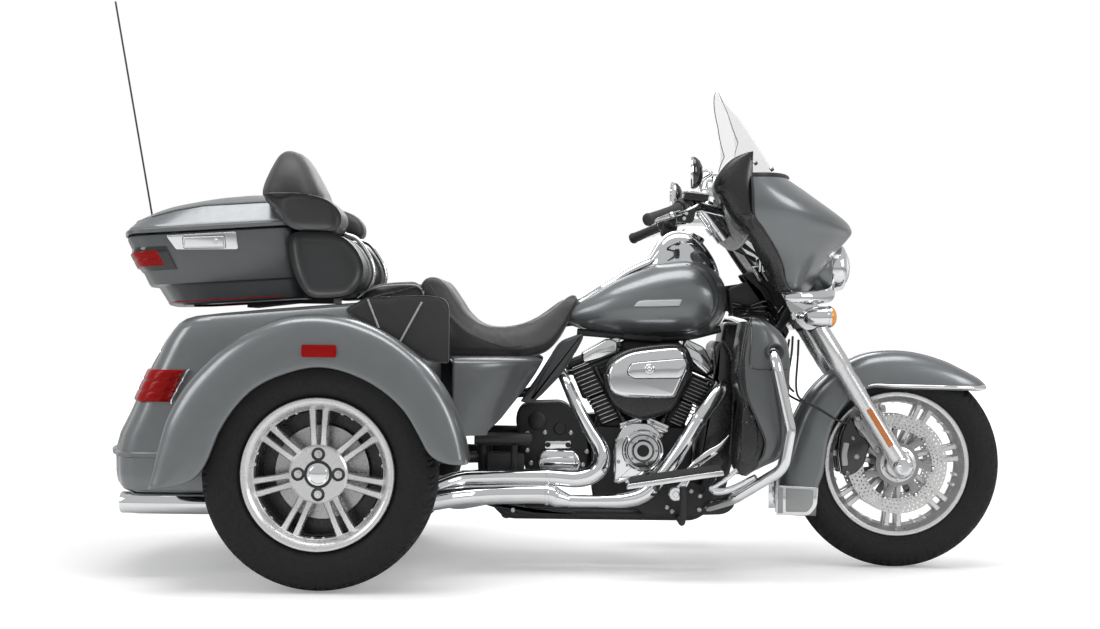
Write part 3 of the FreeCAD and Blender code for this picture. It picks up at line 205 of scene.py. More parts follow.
def smooth(points, count, closed=False):
    """Catmull-Rom line through points: each span is the cubic whose end slopes are (p[i+1] - p[i-1])/2."""
    rows = np.asarray(points, float)
    if closed:
        ends = np.vstack([rows[-1:], rows, rows[:2]])
    else:
        ends = np.vstack([2 * rows[:1] - rows[1:2], rows, 2 * rows[-1:] - rows[-2:-1]])
    spans = len(rows) - (0 if closed else 1)
    where = np.linspace(0, spans, count, endpoint=not closed)
    base = np.minimum(where.astype(int), spans - 1)
    t = (where - base)[:, None]
    a, b, c, d = (ends[base + k] for k in range(4))
    return 0.5 * (2 * b + (c - a) * t + (2 * a - 5 * b + 4 * c - d) * t**2 + (3 * b - a - 3 * c + d) * t**3)


def rounded(corners, steps=6):
    """Outline of (a, b, radius) rows, where each corner becomes a quadratic arc of that reach."""
    table = [(*row, 0)[:3] if len(row) < 3 else row for row in corners]
    spots = np.array([row[:2] for row in table], float)
    reach = np.array([row[2] for row in table], float)[:, None]
    back, ahead = np.roll(spots, 1, 0) - spots, np.roll(spots, -1, 0) - spots
    long_back, long_ahead = (np.linalg.norm(step, axis=1, keepdims=True) for step in (back, ahead))
    start = spots + back / long_back * np.minimum(reach, long_back * 0.49)
    end = spots + ahead / long_ahead * np.minimum(reach, long_ahead * 0.49)
    t = np.linspace(0, 1, steps)[:, None, None]
    arcs = (1 - t) ** 2 * start + 2 * t * (1 - t) * spots + t**2 * end
    return arcs.transpose(1, 0, 2).reshape(-1, 2)


def even(line, count, closed=True):
    """The same line with evenly spaced points, by its running length."""
    line = np.asarray(line, float)
    ring = np.vstack([line, line[:1]]) if closed else line
    run = np.concatenate([[0], np.cumsum(np.linalg.norm(np.diff(ring, axis=0), axis=1))])
    where = np.linspace(0, run[-1], count, endpoint=not closed)
    return np.stack([np.interp(where, run, ring[:, k]) for k in range(ring.shape[1])], 1)


def signed_power(value, exponent):
    """sign(v)*|v|^p, which turns the cosine and sine of a circle into those of a superellipse."""
    return np.sign(value) * np.abs(value) ** exponent


def at_side(line, y):
    """A line drawn in side view (x, z) set upright at one y."""
    return np.column_stack([line[:, 0], np.full(len(line), y), line[:, 1]])


print("a smooth line through 3 points:", smooth([(0, 0), (1, 1), (2, 0)], 5)[:, 1].round(2))

# %% Surfaces as (points, faces)
def skin(grid, round_way=False, long_way=False, caps=(False, False)):
    """Faces of a grid (rows, columns, 3): round_way joins the columns, long_way the rows; caps close ends."""
    rows, columns = grid.shape[:2]
    index = np.arange(rows * columns).reshape(rows, columns)
    if round_way:
        index = np.hstack([index, index[:, :1]])
    if long_way:
        index = np.vstack([index, index[:1]])
    quads = np.stack([index[:-1, :-1], index[:-1, 1:], index[1:, 1:], index[1:, :-1]], -1)
    quads = quads.reshape(-1, 4).tolist()
    for wanted, row in zip(caps, (range(columns)[::-1], range((rows - 1) * columns, rows * columns))):
        if wanted:
            quads.append(list(row))
    return grid.reshape(-1, 3), quads


def lathe(profile, centre, axis=Y, steps=96):
    """Profile (radius, height) spun round an axis: centre + axis*height + radius*(side cos a + up sin a)."""
    profile, axis = np.asarray(profile, float), np.asarray(axis, float) / np.linalg.norm(axis)
    side = np.cross(axis, Z if abs(axis[2]) < 0.9 else X)
    side /= np.linalg.norm(side)
    up = np.cross(axis, side)
    angle = np.radians(np.linspace(0, 360, steps, endpoint=False))[:, None, None]
    radius, height = profile[None, :, :1], profile[None, :, 1:2]
    grid = np.asarray(centre) + axis * height + radius * (np.cos(angle) * side + np.sin(angle) * up)
    return skin(grid, long_way=True)


def bar(path, radius, sides=16, flat=1.0, reference=None, caps=True):
    """Round bar along a path: ring k = path[k] + radius*(normal cos a + flat*binormal sin a)."""
    path = np.asarray(path, float)
    tangent = np.gradient(path, axis=0)
    tangent /= np.linalg.norm(tangent, axis=1, keepdims=True)
    if reference is None:
        reference = np.eye(3)[np.abs(tangent).max(0).argmin()]
    normal = np.cross(tangent, reference)
    normal /= np.linalg.norm(normal, axis=1, keepdims=True)
    binormal = np.cross(tangent, normal)
    angle = np.linspace(0, 2 * np.pi, sides, endpoint=False)[None, :, None]
    radius = np.broadcast_to(np.asarray(radius, float).reshape(-1, 1, 1), (len(path), 1, 1))
    grid = path[:, None] + radius * (np.cos(angle) * normal[:, None]
                                     + flat * np.sin(angle) * binormal[:, None])
    return skin(grid, round_way=True, caps=(caps, caps))


def slab(outline, low, high, rim=2.0, axis="y", steps=4):
    """Outline (a, b) raised from low to high; a quarter circle of the rim's radius rounds both edges."""
    outline = np.asarray(outline, float)
    if np.sum(outline[:, 0] * np.roll(outline[:, 1], -1) - outline[:, 1] * np.roll(outline[:, 0], -1)) < 0:
        outline = outline[::-1]
    step = np.roll(outline, -1, 0) - np.roll(outline, 1, 0)
    inward = np.stack([-step[:, 1], step[:, 0]], 1) / np.linalg.norm(step, axis=1, keepdims=True)
    t = np.linspace(0, np.pi / 2, steps)
    inset = np.concatenate([rim * (1 - np.sin(t)), rim * (1 - np.cos(t))])
    height = np.concatenate([low + rim * (1 - np.cos(t)), high - rim * (1 - np.sin(t))])
    flat = outline[None] + inset[:, None, None] * inward[None]
    up = np.broadcast_to(height[:, None, None], flat.shape[:2] + (1,))
    grid = np.concatenate([flat, up], 2)[..., {"y": (0, 2, 1), "z": (0, 1, 2)}[axis]]
    return skin(grid, round_way=True, caps=(True, True))


def raised(corners, low, high, rim=2.0, steps=4):
    """Slab whose outline, too, has rounded corners: corners is a table of (a, b, radius) rows."""
    return slab(rounded(corners), low, high, rim, steps=steps)


def tube(points, radius, count, sides):
    """Round bar along a smooth line through points; the radius is a number or a (steps, radii) pair."""
    if isinstance(radius, tuple):
        radius = np.interp(np.arange(count), *radius)
    return bar(smooth(points, count), radius, sides)


def stretched(rows, along, around):
    """Closed skin over cross-sections: rows (sections, corners, 3) made smooth first around, then along."""
    rows = np.asarray(rows, float)
    sections = np.stack([smooth(row, around, True) for row in rows])
    grid = smooth(sections.reshape(len(rows), -1), along).reshape(along, around, 3)
    return skin(grid, round_way=True, caps=(True, True))


def moved(surface, shift, turn=None):
    """A surface turned by a 3x3 matrix about the origin and then shifted."""
    points, faces = surface
    if turn is not None:
        points = points @ turn.T
    return points + np.asarray(shift, float), faces


def other_side(surface):
    """The same surface across the middle plane, with its faces turned the other way round."""
    points, faces = surface
    return points * (1, -1, 1), [face[::-1] for face in faces]


def both(*parts):
    """Surfaces of the right side and, after them, the same ones on the left."""
    return [*parts, *map(other_side, parts)]


def bolt_heads(spots, profile, y, steps):
    """A spun head at each spot (x, z) of the right side, looking outwards from y."""
    return [lathe(profile, (x, y, z), -Y, steps) for x, z in spots]


def turn_about(axis, degrees):
    """Rotation matrix about an axis: cos*I + sin*cross + (1 - cos)*outer."""
    axis = np.asarray(axis, float) / np.linalg.norm(axis)
    angle = np.radians(degrees)
    cross = np.cross(axis, np.eye(3)).T
    return np.cos(angle) * np.eye(3) + np.sin(angle) * cross + (1 - np.cos(angle)) * np.outer(axis, axis)


print("a spun profile has", len(lathe([(10, 0), (12, 5)], (0, 0, 0))[0]), "points")

# %% From surfaces to a piece
SIDES = ((-1, "right"), (1, "left"))
MERGE, SLIVER = 2e-6, 1e-7


def piece(name, surfaces, material, body, instead_of="", crease=40, wall=0.0):
    """One mesh from several surfaces (mm): doubles merged, normals outward, and a wall where wanted."""
    starts = np.cumsum([0] + [len(points) for points, _ in surfaces])
    points = np.vstack([points for points, _ in surfaces]) / 1000
    faces = [[corner + start for corner in face] for (_, faces), start in zip(surfaces, starts)
             for face in faces]
    mesh = bpy.data.meshes.new(name)
    mesh.from_pydata(points, [], faces)
    work = bmesh.new()
    work.from_mesh(mesh)
    bmesh.ops.remove_doubles(work, verts=work.verts, dist=MERGE)
    bmesh.ops.dissolve_degenerate(work, edges=work.edges, dist=SLIVER)
    bmesh.ops.recalc_face_normals(work, faces=work.faces)
    work.to_mesh(mesh)
    work.free()
    mesh.shade_smooth()
    mesh.set_sharp_from_angle(angle=np.radians(crease))
    mesh.materials.append(material)
    thing = bpy.data.objects.new(name, mesh)
    bpy.context.scene.collection.objects.link(thing)
    if wall:
        shell = thing.modifiers.new("wall", "SOLIDIFY")
        shell.thickness = wall / 1000
        shell.offset = -1
    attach(thing, body)
    if instead_of:
        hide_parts(*instead_of.split())
    print(name, len(mesh.polygons), "faces on", body)
    return thing


print("each piece merges points closer than", MERGE * 1000, "mm")

# %% [markdown]
# ## Tyres
# A tyre is a profile spun round its axle, with blocks cut into the tread. The profile gets extra points where
# a groove begins and ends, so each groove keeps its own steep walls. At the shoulder, a second pattern cuts a
# slot between the blocks and a narrower one into every other block. It is geometry and not a picture, because
# the blocks show on the outline.

# %% Tyres
TYRES = [            # node, half width, crown radius, shoulder radius, bead radius, grooves (y), blocks, body
    ("front_tyre", 64, 317, 296, 219.4, (24,), 46, "front_wheel"),
    ("right_rear_tyre", 101, 318, 307, 207, (16, 48), 60, "right_rear_wheel"),
    ("left_rear_tyre", 101, 318, 307, 207, (16, 48), 60, "left_rear_wheel"),
]


def tyre(half, crown, shoulder, bead, grooves, blocks):
    """Spun tyre: radius = crown - (crown - shoulder)*(y/tread)^2.6, lowered by grooves and block slots."""
    tread = half * 0.86
    marks = np.array([[g - 4.5, g - 3.5, g + 3.5, g + 4.5] for g in grooves]).ravel()
    y = np.unique(np.concatenate([np.linspace(0, tread, 15), marks, [tread - 26, tread - 25]]))
    groove = np.any([np.abs(y - g) < 4 for g in grooves], axis=0)
    radius = crown - (crown - shoulder) * (y / tread) ** 2.6
    wall = smooth([(shoulder, tread), (shoulder - 12, half * 0.955), ((shoulder + bead) / 2 + 4, half),
                   (bead + 24, half * 0.93), (bead + 9, half * 0.83), (bead + 6, half * 0.80),
                   (bead, half * 0.745)], 34)
    rib = (1.1 * np.exp(-((wall[:, 0] - (shoulder - 24)) / 2.5) ** 2)
           + 1.3 * np.exp(-((wall[:, 0] - bead - 21) / 3) ** 2))
    radius_half = np.concatenate([radius, wall[1:, 0]])
    y_half = np.concatenate([y, wall[1:, 1] + rib[1:]])
    depth = np.concatenate([np.where(groove, 6.0, 0.0), np.zeros(len(wall) - 1)])
    flank = np.concatenate([np.clip((y - tread + 25.5), 0, 1), np.exp(-((wall[1:, 0] - shoulder) / 16) ** 2)])
    profile = np.stack([np.concatenate([radius_half[::-1], radius_half[1:]]),
                        np.concatenate([-y_half[::-1], y_half[1:]])], 1)
    depth = np.concatenate([depth[::-1], depth[1:]])
    flank = np.concatenate([flank[::-1], flank[1:]])
    side = np.sign(profile[:, 1])
    steps = blocks * 8
    angle = np.arange(steps)[:, None]
    slant = np.round(np.abs(profile[:, 1]) / tread * 3 + 2 * side)
    slot = ((angle + slant[None]) % 8 < 1.5) | ((angle + slant[None] + 4) % 16 < 1)
    lower = np.maximum(depth[None], 5.0 * slot * flank[None])
    turn = np.radians(360 / steps) * angle
    distance = profile[None, :, 0] - lower
    return np.stack([distance * np.cos(turn), np.broadcast_to(profile[None, :, 1], distance.shape),
                     distance * np.sin(turn)], 2)


for name, half, crown, shoulder, bead, grooves, blocks, body in TYRES:
    grid = tyre(half, crown, shoulder, bead, grooves, blocks) + middle(name)
    grid = np.concatenate([grid, grid[:, [-1, 0]]], 1)
    piece(name + "_treaded", [skin(grid, long_way=True)], rubber, body, name, crease=50)

# %% [markdown]
# ## Cast wheels
# Each wheel is one casting: a dished rim, a hub, and seven pairs of slim spokes. The two spokes of a pair
# part slightly towards the rim, and each has a flat machined face with sloping flanks. Short ribs stand on
# the barrel between the pairs. The rim and hub are spun; a spoke is a strip of cross-sections, turned seven
# times.

# %% Spokes, ribs and rims
def spoke(inner, outer, spread_in, spread_out, half_in, half_out, face_in, face_out, thick, way):
    """Strip from inner to outer radius: each section is a trapezium, its face narrower than its back."""
    t = np.linspace(0, 1, 9)[:, None]
    radius = inner + (outer - inner) * t
    centre = way * (spread_in + (spread_out - spread_in) * t**1.2)
    flare = 1 + 0.55 * np.exp(-t * 9) + 0.35 * np.exp(-(1 - t) * 12)
    half = (half_in + (half_out - half_in) * t) * flare
    face = face_in + (face_out - face_in) * t - 5 * np.sin(np.pi * t)
    across = np.array([-1.0, -0.78, -0.66, 0.66, 0.78, 1.0, 1.0, -1.0])[None]
    depth = np.array([5.0, 1.0, 0, 0, 1.0, 5.0, thick, thick])[None]
    return np.stack([centre + across * half, np.broadcast_to(face + depth, (9, 8)),
                     np.broadcast_to(radius, (9, 8))], 2)


def spoke_set(first, pairs, towards, **shape):
    """All spokes of a wheel, each turned about the axle; towards is -1 or 1, the side its face looks to."""
    surfaces = []
    for turn in np.radians(first + np.arange(pairs) * 360 / pairs - 90):
        rotate = np.array([(np.cos(turn), 0, -np.sin(turn)), (0, 1, 0), (np.sin(turn), 0, np.cos(turn))])
        for way in (-1, 1):
            grid = spoke(way=way, **shape) * (1, towards * -1, 1)
            surfaces.append(skin(grid @ rotate.T, round_way=True, caps=(True, True)))
    return surfaces


def rib_set(first, pairs, radius, towards, face):
    """Two short ribs on the barrel in each bay between pairs of spokes."""
    surfaces = []
    for turn in (first + (np.arange(pairs)[:, None] + 0.5) * 360 / pairs + [-5, 5]).ravel():
        a = np.radians(turn)
        out, side = np.array([np.cos(a), 0, np.sin(a)]), np.array([-np.sin(a), 0, np.cos(a)])
        path = [out * radius + Y * towards * (face - depth) for depth in (2, 30)]
        surfaces.append(bar(path, 3.0, 8, flat=1.6, reference=side))
    return surfaces


def spun_rim(centre, flange, lip, half, barrel):
    """Dished rim as one closed profile that goes round both lips and back under the tyre."""
    inside = np.array([(flange - 1, half - 2), (flange + 0.5, half + 3), (flange - 1.5, half + 6),
                       (flange - 9, half + 6.6), (flange - 13, half + 5.2), (lip + 5, half - 5),
                       (lip, half - 13), (lip - 4, half - 17), (barrel, half - 44), (barrel - 1, 0)])
    profile = np.vstack([inside, (inside * (1, -1))[::-1][1:]])
    outer = np.array([(barrel + 7, -half + 30), (barrel + 7, half - 30)])
    return lathe(np.vstack([profile, outer, profile[:1]]), centre, Y, 144)


def outward(profile, side):
    """Profile (radius, height) whose heights point away from the machine on that side."""
    return np.array(profile) * (1, side)


SPOKE_PAIRS = 7
print("spokes of one wheel:", 2 * SPOKE_PAIRS)

# %% Rear wheels
for side, word in SIDES:
    name = word + "_rear_wheel"
    centre = rear_axle + Y * side * rear_y
    shape = dict(inner=66, outer=183, spread_in=12.5, spread_out=18.8, half_in=7.8, half_out=8.8, face_in=-62,
                 face_out=-66, thick=24)
    cast = [spun_rim(centre, 206, 178, 83, 172)]
    cast += [moved(surface, centre) for surface in spoke_set(90, SPOKE_PAIRS, side, **shape)]
    cast += [moved(surface, centre) for surface in rib_set(90, SPOKE_PAIRS, 173, side, 62)]
    disc = [(0, 67), (30, 67), (33, 70), (74, 70), (79, 66), (80, 52), (70, 30), (34, 24), (34, -40),
            (14, -44), (0, -44)]
    cast.append(lathe(outward(disc, side), centre, Y, 96))
    piece(name + "_cast", cast, wheel_silver, name, name, crease=32)
    nuts, cups = [], []
    for turn in np.radians((0, 90, 180, 270)):
        spot = centre + np.array([np.cos(turn), 0, np.sin(turn)]) * 54 + Y * side * 70
        cups.append(lathe(outward([(0, -1), (10, -1), (11, 1), (17, 1.6), (18.5, 0)], side), spot, Y, 32))
        nuts.append(lathe(outward([(0, 4), (5, 4), (6, 2.5), (6, 1), (9, 1), (9.5, -6)], side), spot, Y, 6))
    hub_cap = [(0, 5), (22, 5), (24, 3.5), (26, 5), (30, 4.5), (32, 2), (32, 0)]
    nuts.append(lathe(outward(hub_cap, side), centre + Y * side * 68, Y, 64))
    ring = [(32, 0), (32, 1.6), (38, 1.6), (38, 0)]
    cups.append(lathe(outward(ring, side), centre + Y * side * 69.5, Y, 64))
    piece(name + "_nut_cups", cups, gloss_black, name)
    liner = [(168.5, 44), (168.5, -40), (60, -40), (60, -36), (166, -34), (167, 44), (168.5, 44)]
    piece(name + "_liner", [lathe(outward(liner, side), centre, Y, 96)], satin_black, name)
    disc = [(60, -8), (128, -8), (130, -10), (130, -18), (128, -20), (60, -20), (60, -8)]
    piece(name + "_brake_disc", [lathe(outward(disc, side), centre, Y, 120)], steel, name)
    piece(name + "_nuts_and_cap", nuts, chrome, name)

# %% Front wheel
centre = front_axle
cast = [spun_rim(centre, 218.6, 194, 47, 186)]
for side in (-1, 1):
    shape = dict(inner=40, outer=199, spread_in=12, spread_out=19, half_in=7.5, half_out=8.0, face_in=-22,
                 face_out=-31, thick=20)
    cast += [moved(surface, centre) for surface in spoke_set(10.7, SPOKE_PAIRS, side, **shape)]
    cast += [moved(surface, centre) for surface in rib_set(10.7, SPOKE_PAIRS, 187, side, 34)]
cast.append(lathe([(13, -52), (38, -52), (44, -46), (46, -20), (40, 0), (46, 20), (44, 46), (38, 52),
                   (13, 52), (13, -52)], centre, Y, 64))
piece("front_wheel_cast", cast, wheel_silver, "front_wheel", "front_wheel", crease=32)

# %% [markdown]
# ## Rear body and its door
# The rear body is a tall box with a bowed back, softly rounded at every edge. All of its plan outlines share
# the same columns, so one grid makes the whole skin, and a window of that grid, cut free with a gap all
# round, is the luggage door. Cutting the door from the same grid keeps the bow of the two perfectly in line.

# %% Plan outline with a bowed back
def plan_outline(back, ahead, side, bow, corner=60.0, nose=45.0, marks=()):
    """Closed outline (x, y): rear x = back - bow*(1 - |s|^2.4), round corners, straight sides and front."""
    s = np.unique(np.concatenate([np.linspace(-1, 1, 37), marks]))
    flat = side - corner
    rear = np.stack([back - bow * (1 - np.abs(s) ** 2.4), s * flat], 1)
    a = np.radians(np.linspace(0, 90, 9))[1:, None]
    turn = np.hstack([back + corner * (1 - np.cos(a)), flat + corner * np.sin(a)])
    run = np.linspace(0, 1, 15)[1:-1, None]
    along = np.hstack([back + corner + (ahead - nose - back - corner) * run, np.full_like(run, side)])
    b = np.radians(np.linspace(0, 90, 8))[:, None]
    front = np.hstack([ahead - nose + nose * np.sin(b), side - nose + nose * np.cos(b)])
    near = np.vstack([turn, along, front])
    across = np.linspace(1, -1, 9)[1:-1, None] * (side - nose)
    return np.vstack([rear, near, np.hstack([np.full_like(across, ahead), across]), (near * (1, -1))[::-1]])


TRUNK_ROWS = [            # height, back, front, half width, bow (x from the rear axle)
    (246, -560, 222, 396, 60), (243, -580, 238, 416, 66), (250, -590, 246, 424, 70),
    (262, -596, 250, 428, 73), (292, -600, 250, 428, 74), (297, -600, 250, 428, 74),
    (330, -601, 250, 428, 74), (339, -602, 250, 428, 74), (342, -610, 250, 431, 75),
    (352, -611, 250, 431, 75), (356, -600, 250, 428, 74), (400, -590, 250, 428, 72),
    (464, -560, 250, 428, 70), (530, -534, 250, 428, 68), (600, -502, 250, 428, 66),
    (635, -486, 250, 428, 62), (640, -484, 250, 428, 61), (670, -470, 250, 428, 56),
    (700, -452, 250, 426, 50), (718, -438, 248, 421, 45), (730, -420, 243, 410, 40),
    (736, -398, 232, 392, 34), (740, -350, 190, 330, 26), (744, -260, 120, 220, 18), (746, -120, 20, 60, 4),
]
DOOR_SIDE, DOOR_FROM, DOOR_TO, GAP = 330, 292, 640, 5
door_marks = np.array([-DOOR_SIDE, -DOOR_SIDE + GAP, DOOR_SIDE - GAP, DOOR_SIDE]) / 368


def trunk_grid(rows, proud=0.0):
    """Rows of plan outlines; the top ones climb towards the front by 0.085 of x, faded in above 600."""
    levels = []
    for height, back, ahead, side, bow in rows:
        outline = plan_outline(back - proud, ahead + proud, side + proud, bow, marks=door_marks)
        climb = np.clip((height - 600) / 130, 0, 1) * 0.085 * (outline[:, 0] + 437)
        levels.append(np.column_stack([rear_axle[0] + outline[:, 0], outline[:, 1], height + climb]))
    return np.stack(levels)


grid = trunk_grid(TRUNK_ROWS)
points, faces = skin(grid, round_way=True, caps=(True, True))
centre_of = np.array([points[list(face[:4])].mean(0) for face in faces])
rear_facing = (centre_of[:, 0] < rear_axle[0] - 300) & (np.array([len(face) for face in faces]) == 4)
aside, up = np.abs(centre_of[:, 1]), centre_of[:, 2]
window = rear_facing & (up > DOOR_FROM) & (up < DOOR_TO) & (aside < DOOR_SIDE)
door = window & (up > DOOR_FROM + GAP) & (up < DOOR_TO - GAP) & (aside < DOOR_SIDE - GAP)
body_faces = [face for face, cut in zip(faces, window) if not cut]
door_faces = [face for face, kept in zip(faces, door) if kept]
piece("rear_body_skin", [(points, body_faces)], paint, "chassis", "rear_body", crease=30, wall=5)
piece("trunk_door_skin", [(points, door_faces)], paint, "trunk_door", "trunk_door", crease=30,
      wall=14)

# %% [markdown]
# ## Rear fenders
# A rear fender is a wide arch: a crown that rolls over into a tall cheek, which ends in a thin lip round the
# wheel. Its ridge and its opening aren't circles, so both are given as lines. At each step along them a
# cross-section runs from the body, over the ridge, down the cheek and round the lip.

# %% Rear fenders
RIDGE = [(-447, 278), (-436, 330), (-428, 376), (-404, 464), (-361, 544), (-304, 610), (-232, 673),
         (-160, 714), (-87, 740), (-7, 748), (66, 740), (139, 717), (204, 683), (271, 630), (322, 571),
         (363, 502), (389, 430), (402, 352)]
OPENING = [(-398, 283), (-343, 295), (-308, 318), (-283, 360), (-253, 435), (-208, 504), (-151, 556),
           (-72, 591), (7, 606), (87, 591), (166, 552), (232, 495), (276, 424), (298, 384), (322, 364),
           (352, 354)]
SECTION = [            # share of the way from ridge to opening, y outwards from the body side
    (0.10, 0), (0.055, 60), (0.02, 130), (0.0, 190), (0.03, 226), (0.10, 248), (0.22, 259), (0.40, 264),
    (0.62, 266), (0.84, 265), (0.965, 263), (1.0, 258), (1.0, 248), (0.97, 240),
]
FENDER_FOOT, FENDER_FACE, WIDEST = 428.6, 695, 266
ridge, opening = (even(smooth(line, 400), 72, closed=False) for line in (RIDGE, OPENING))
for side, word in SIDES:
    rows = []
    for share, out in SECTION:
        line = ridge + (opening - ridge) * share + (rear_axle[0], 0)
        rows.append(at_side(line, side * (FENDER_FOOT + out * (FENDER_FACE - FENDER_FOOT) / WIDEST)))
    rows = np.stack(rows, 1)
    across = np.stack([smooth(row, 44) for row in rows])
    piece(word + "_rear_fender", [skin(across)], paint, "chassis",
          "rear_fenders" if side < 0 else "", crease=50, wall=4)

# %% [markdown]
# ## Rear lamps
# The tail lamp wraps the corner of the body, so it is a window of the same grid as the body, only pushed out
# by nine millimetres. Three ribs run round it. A chrome edge closes it against the fender. The side marker is
# a slab.

# %% Tail lamps and side markers
LAMP_FROM, LAMP_TO = 498, 588
lamp_levels = np.linspace(LAMP_FROM, LAMP_TO, 19)
table = np.array(TRUNK_ROWS)
lamp_rows = np.column_stack([lamp_levels] + [np.interp(lamp_levels, table[:, 0], table[:, k])
                                             for k in range(1, 5)])
ribbed = 9 - 2.2 * (np.abs(np.sin((lamp_levels - LAMP_FROM) / (LAMP_TO - LAMP_FROM) * np.pi * 3)) < 0.35)
lamp_skin = np.stack([trunk_grid([row], out)[0] for row, out in zip(lamp_rows, ribbed)])
for side, word in SIDES:
    wrap = (lamp_skin[0, :, 1] * side > 300) & (lamp_skin[0, :, 0] < rear_axle[0] - 395)
    patch = lamp_skin[:, wrap]
    patch = patch[:, np.argsort(np.arctan2(patch[0, :, 1] * side - 200,
                                           -(patch[0, :, 0] - rear_axle[0] + 300)))]
    inner = patch.copy()
    inner[..., 0] += 12
    inner[..., 1] -= side * 12
    shell = np.concatenate([inner[:1], patch, inner[-1:]])
    piece(word + "_tail_lamp", [skin(shell)], red_lens, "chassis",
          "rear_lamps" if side < 0 else "", crease=30, wall=2)
    edge = patch[:, -1] + (4, side * 1.5, 0)
    slope = (lamp_levels - LAMP_FROM)[:, None] * (0.12, 0, 0)
    piece(word + "_tail_lamp_edge", [bar(edge + slope, 5, 10, flat=2.4)], chrome, "chassis")
    marker = rounded([(-37, 633, 7), (55, 633, 7), (55, 666, 7), (-37, 666, 7)])
    marker[:, 0] += rear_axle[0]
    piece(word + "_side_marker", [slab(marker, side * 694, side * 699.5, 1.6)], red_lens, "chassis")

# %% [markdown]
# ## Luggage box and lid
# The box sits on the rear body, tipped up at the front by about four degrees, so it is worked out in a frame
# of its own: u runs forward along its floor and w stands square to it. The box is a bowl of plan outlines
# that widen upwards, with a ledge low down. The lid is a dome: its outline, pulled in step by step, climbs
# to a ridge in the middle.

# %% The frame of the box
BOX_ROUND = dict(corner=52, nose=40)
tilt = np.radians(3.9)
box_corner = np.array([rear_axle[0] - 510, 0, 768])
BOX_U, BOX_W = np.array([np.cos(tilt), 0, np.sin(tilt)]), np.array([-np.sin(tilt), 0, np.cos(tilt)])


def from_box(grid):
    """Points (u, y, w) of the box's own frame in the frame of the machine."""
    return box_corner + grid[..., :1] * BOX_U + grid[..., 1:2] * Y + grid[..., 2:] * BOX_W


BOX_ROWS = [            # w, back, front, half width, bow
    (8, 40, 388, 186, 30), (1, 22, 400, 202, 38), (6, 10, 404, 211, 42), (56, -12, 402, 243, 44),
    (60, -16, 402, 248, 44), (63, -36, 400, 256, 44), (70, -41, 399, 259, 44), (116, -58, 396, 274, 44),
    (160, -76, 394, 285, 44), (196, -90, 392, 291, 44), (204, -92, 391, 292, 44), (208, -90, 389, 290, 44),
]


def box_grid(rows, proud=0.0):
    """Plan outlines of the box at their heights, still in (u, y, w)."""
    levels = []
    for w, back, ahead, side, bow in rows:
        outline = plan_outline(back - proud, ahead, side + proud, bow, **BOX_ROUND)
        levels.append(np.column_stack([outline, np.full(len(outline), w)]))
    return np.stack(levels)


box_skin = box_grid(BOX_ROWS)
# The box takes the darker copy of the paint: painted shade on the same paint as the lid.
piece("luggage_box_skin", [skin(from_box(box_skin), round_way=True, caps=(True, False))], shaded_paint,
      "chassis", "tour_box", crease=25, wall=4)


def crease_height(u, y):
    """Height of the lid's upper crease: it rises towards the front and bows up in the middle."""
    rise = np.interp(u, [-112, -60, 46, 130, 300], [238, 254, 275, 284, 284])
    return rise + np.interp(u, [-110, 0], [24, 0]) * (1 - (y / 236) ** 2)


outline = plan_outline(-92, 391, 292, 44, **BOX_ROUND)
lid_rows = []
for w, proud in ((211, 0), (213, 4.5), (223, 5), (226, 0), (230, -1.5)):
    out = plan_outline(-92 - proud, 391 + proud * 0.5, 292 + proud, 44, **BOX_ROUND)
    lid_rows.append(np.column_stack([out, np.full(len(out), w)]))
for back, wide, lift in ((0.915, 0.835, 0.0), (0.89, 0.80, 0.12), (0.70, 0.55, 0.72), (0.40, 0.28, 0.95),
                         (0.1, 0.06, 1.0)):
    u, y = 150 + (outline[:, 0] - 150) * back, outline[:, 1] * wide
    ridge = np.interp(u, [-125, -95, -42, 17, 87, 161, 266, 400], [236, 268, 289, 303, 313, 321, 325, 318])
    side = crease_height(u, y)
    lid_rows.append(np.column_stack([u, y, side + np.maximum(ridge - side, 2) * lift]))
lid_grid = np.stack(lid_rows)
lid_grid = np.concatenate([lid_grid[:5], smooth(lid_grid[4:].reshape(6, -1), 30).reshape(30, -1, 3)[1:]])
piece("luggage_lid_skin", [skin(from_box(lid_grid), round_way=True, caps=(False, True))], paint, "tour_lid",
      "tour_lid", crease=28, wall=4)

# %% [markdown]
# ## Lamps, latch and reflector of the box
# The box lamps wrap its rear corners, so they come from the box's own grid, pushed out. The latch plate lies
# on the sloping side: its flat outline is raised as a slab first, and each point is then moved out to the
# side.

# %% Lamps, latch and reflector
table = np.array(BOX_ROWS)


def box_band(levels, proud, keep):
    """Rows of the box's skin between two heights, pushed out; keep picks the columns by (u, y)."""
    rows = np.column_stack([levels] + [np.interp(levels, table[:, 0], table[:, k]) for k in range(1, 5)])
    grid = np.stack([box_grid([row], out)[0] for row, out in zip(rows, np.broadcast_to(proud, len(levels)))])
    band = grid[:, keep(grid[0, :, 0], grid[0, :, 1])]
    order = np.argsort(np.arctan2(np.abs(band[0, :, 1]) - 150, -(band[0, :, 0] - 60)))
    return band[:, order]


def closed_band(band, depth, side):
    """A band with its rim turned in by a depth, so that it looks like a thick lens."""
    inner = band + np.array([depth, -side * depth, 0])
    ring = np.concatenate([inner[:1], band, inner[-1:]])
    ends = np.concatenate([inner[:1], inner, inner[-1:]])
    return np.concatenate([ends[:, :1], ring, ends[:, -1:]], 1)


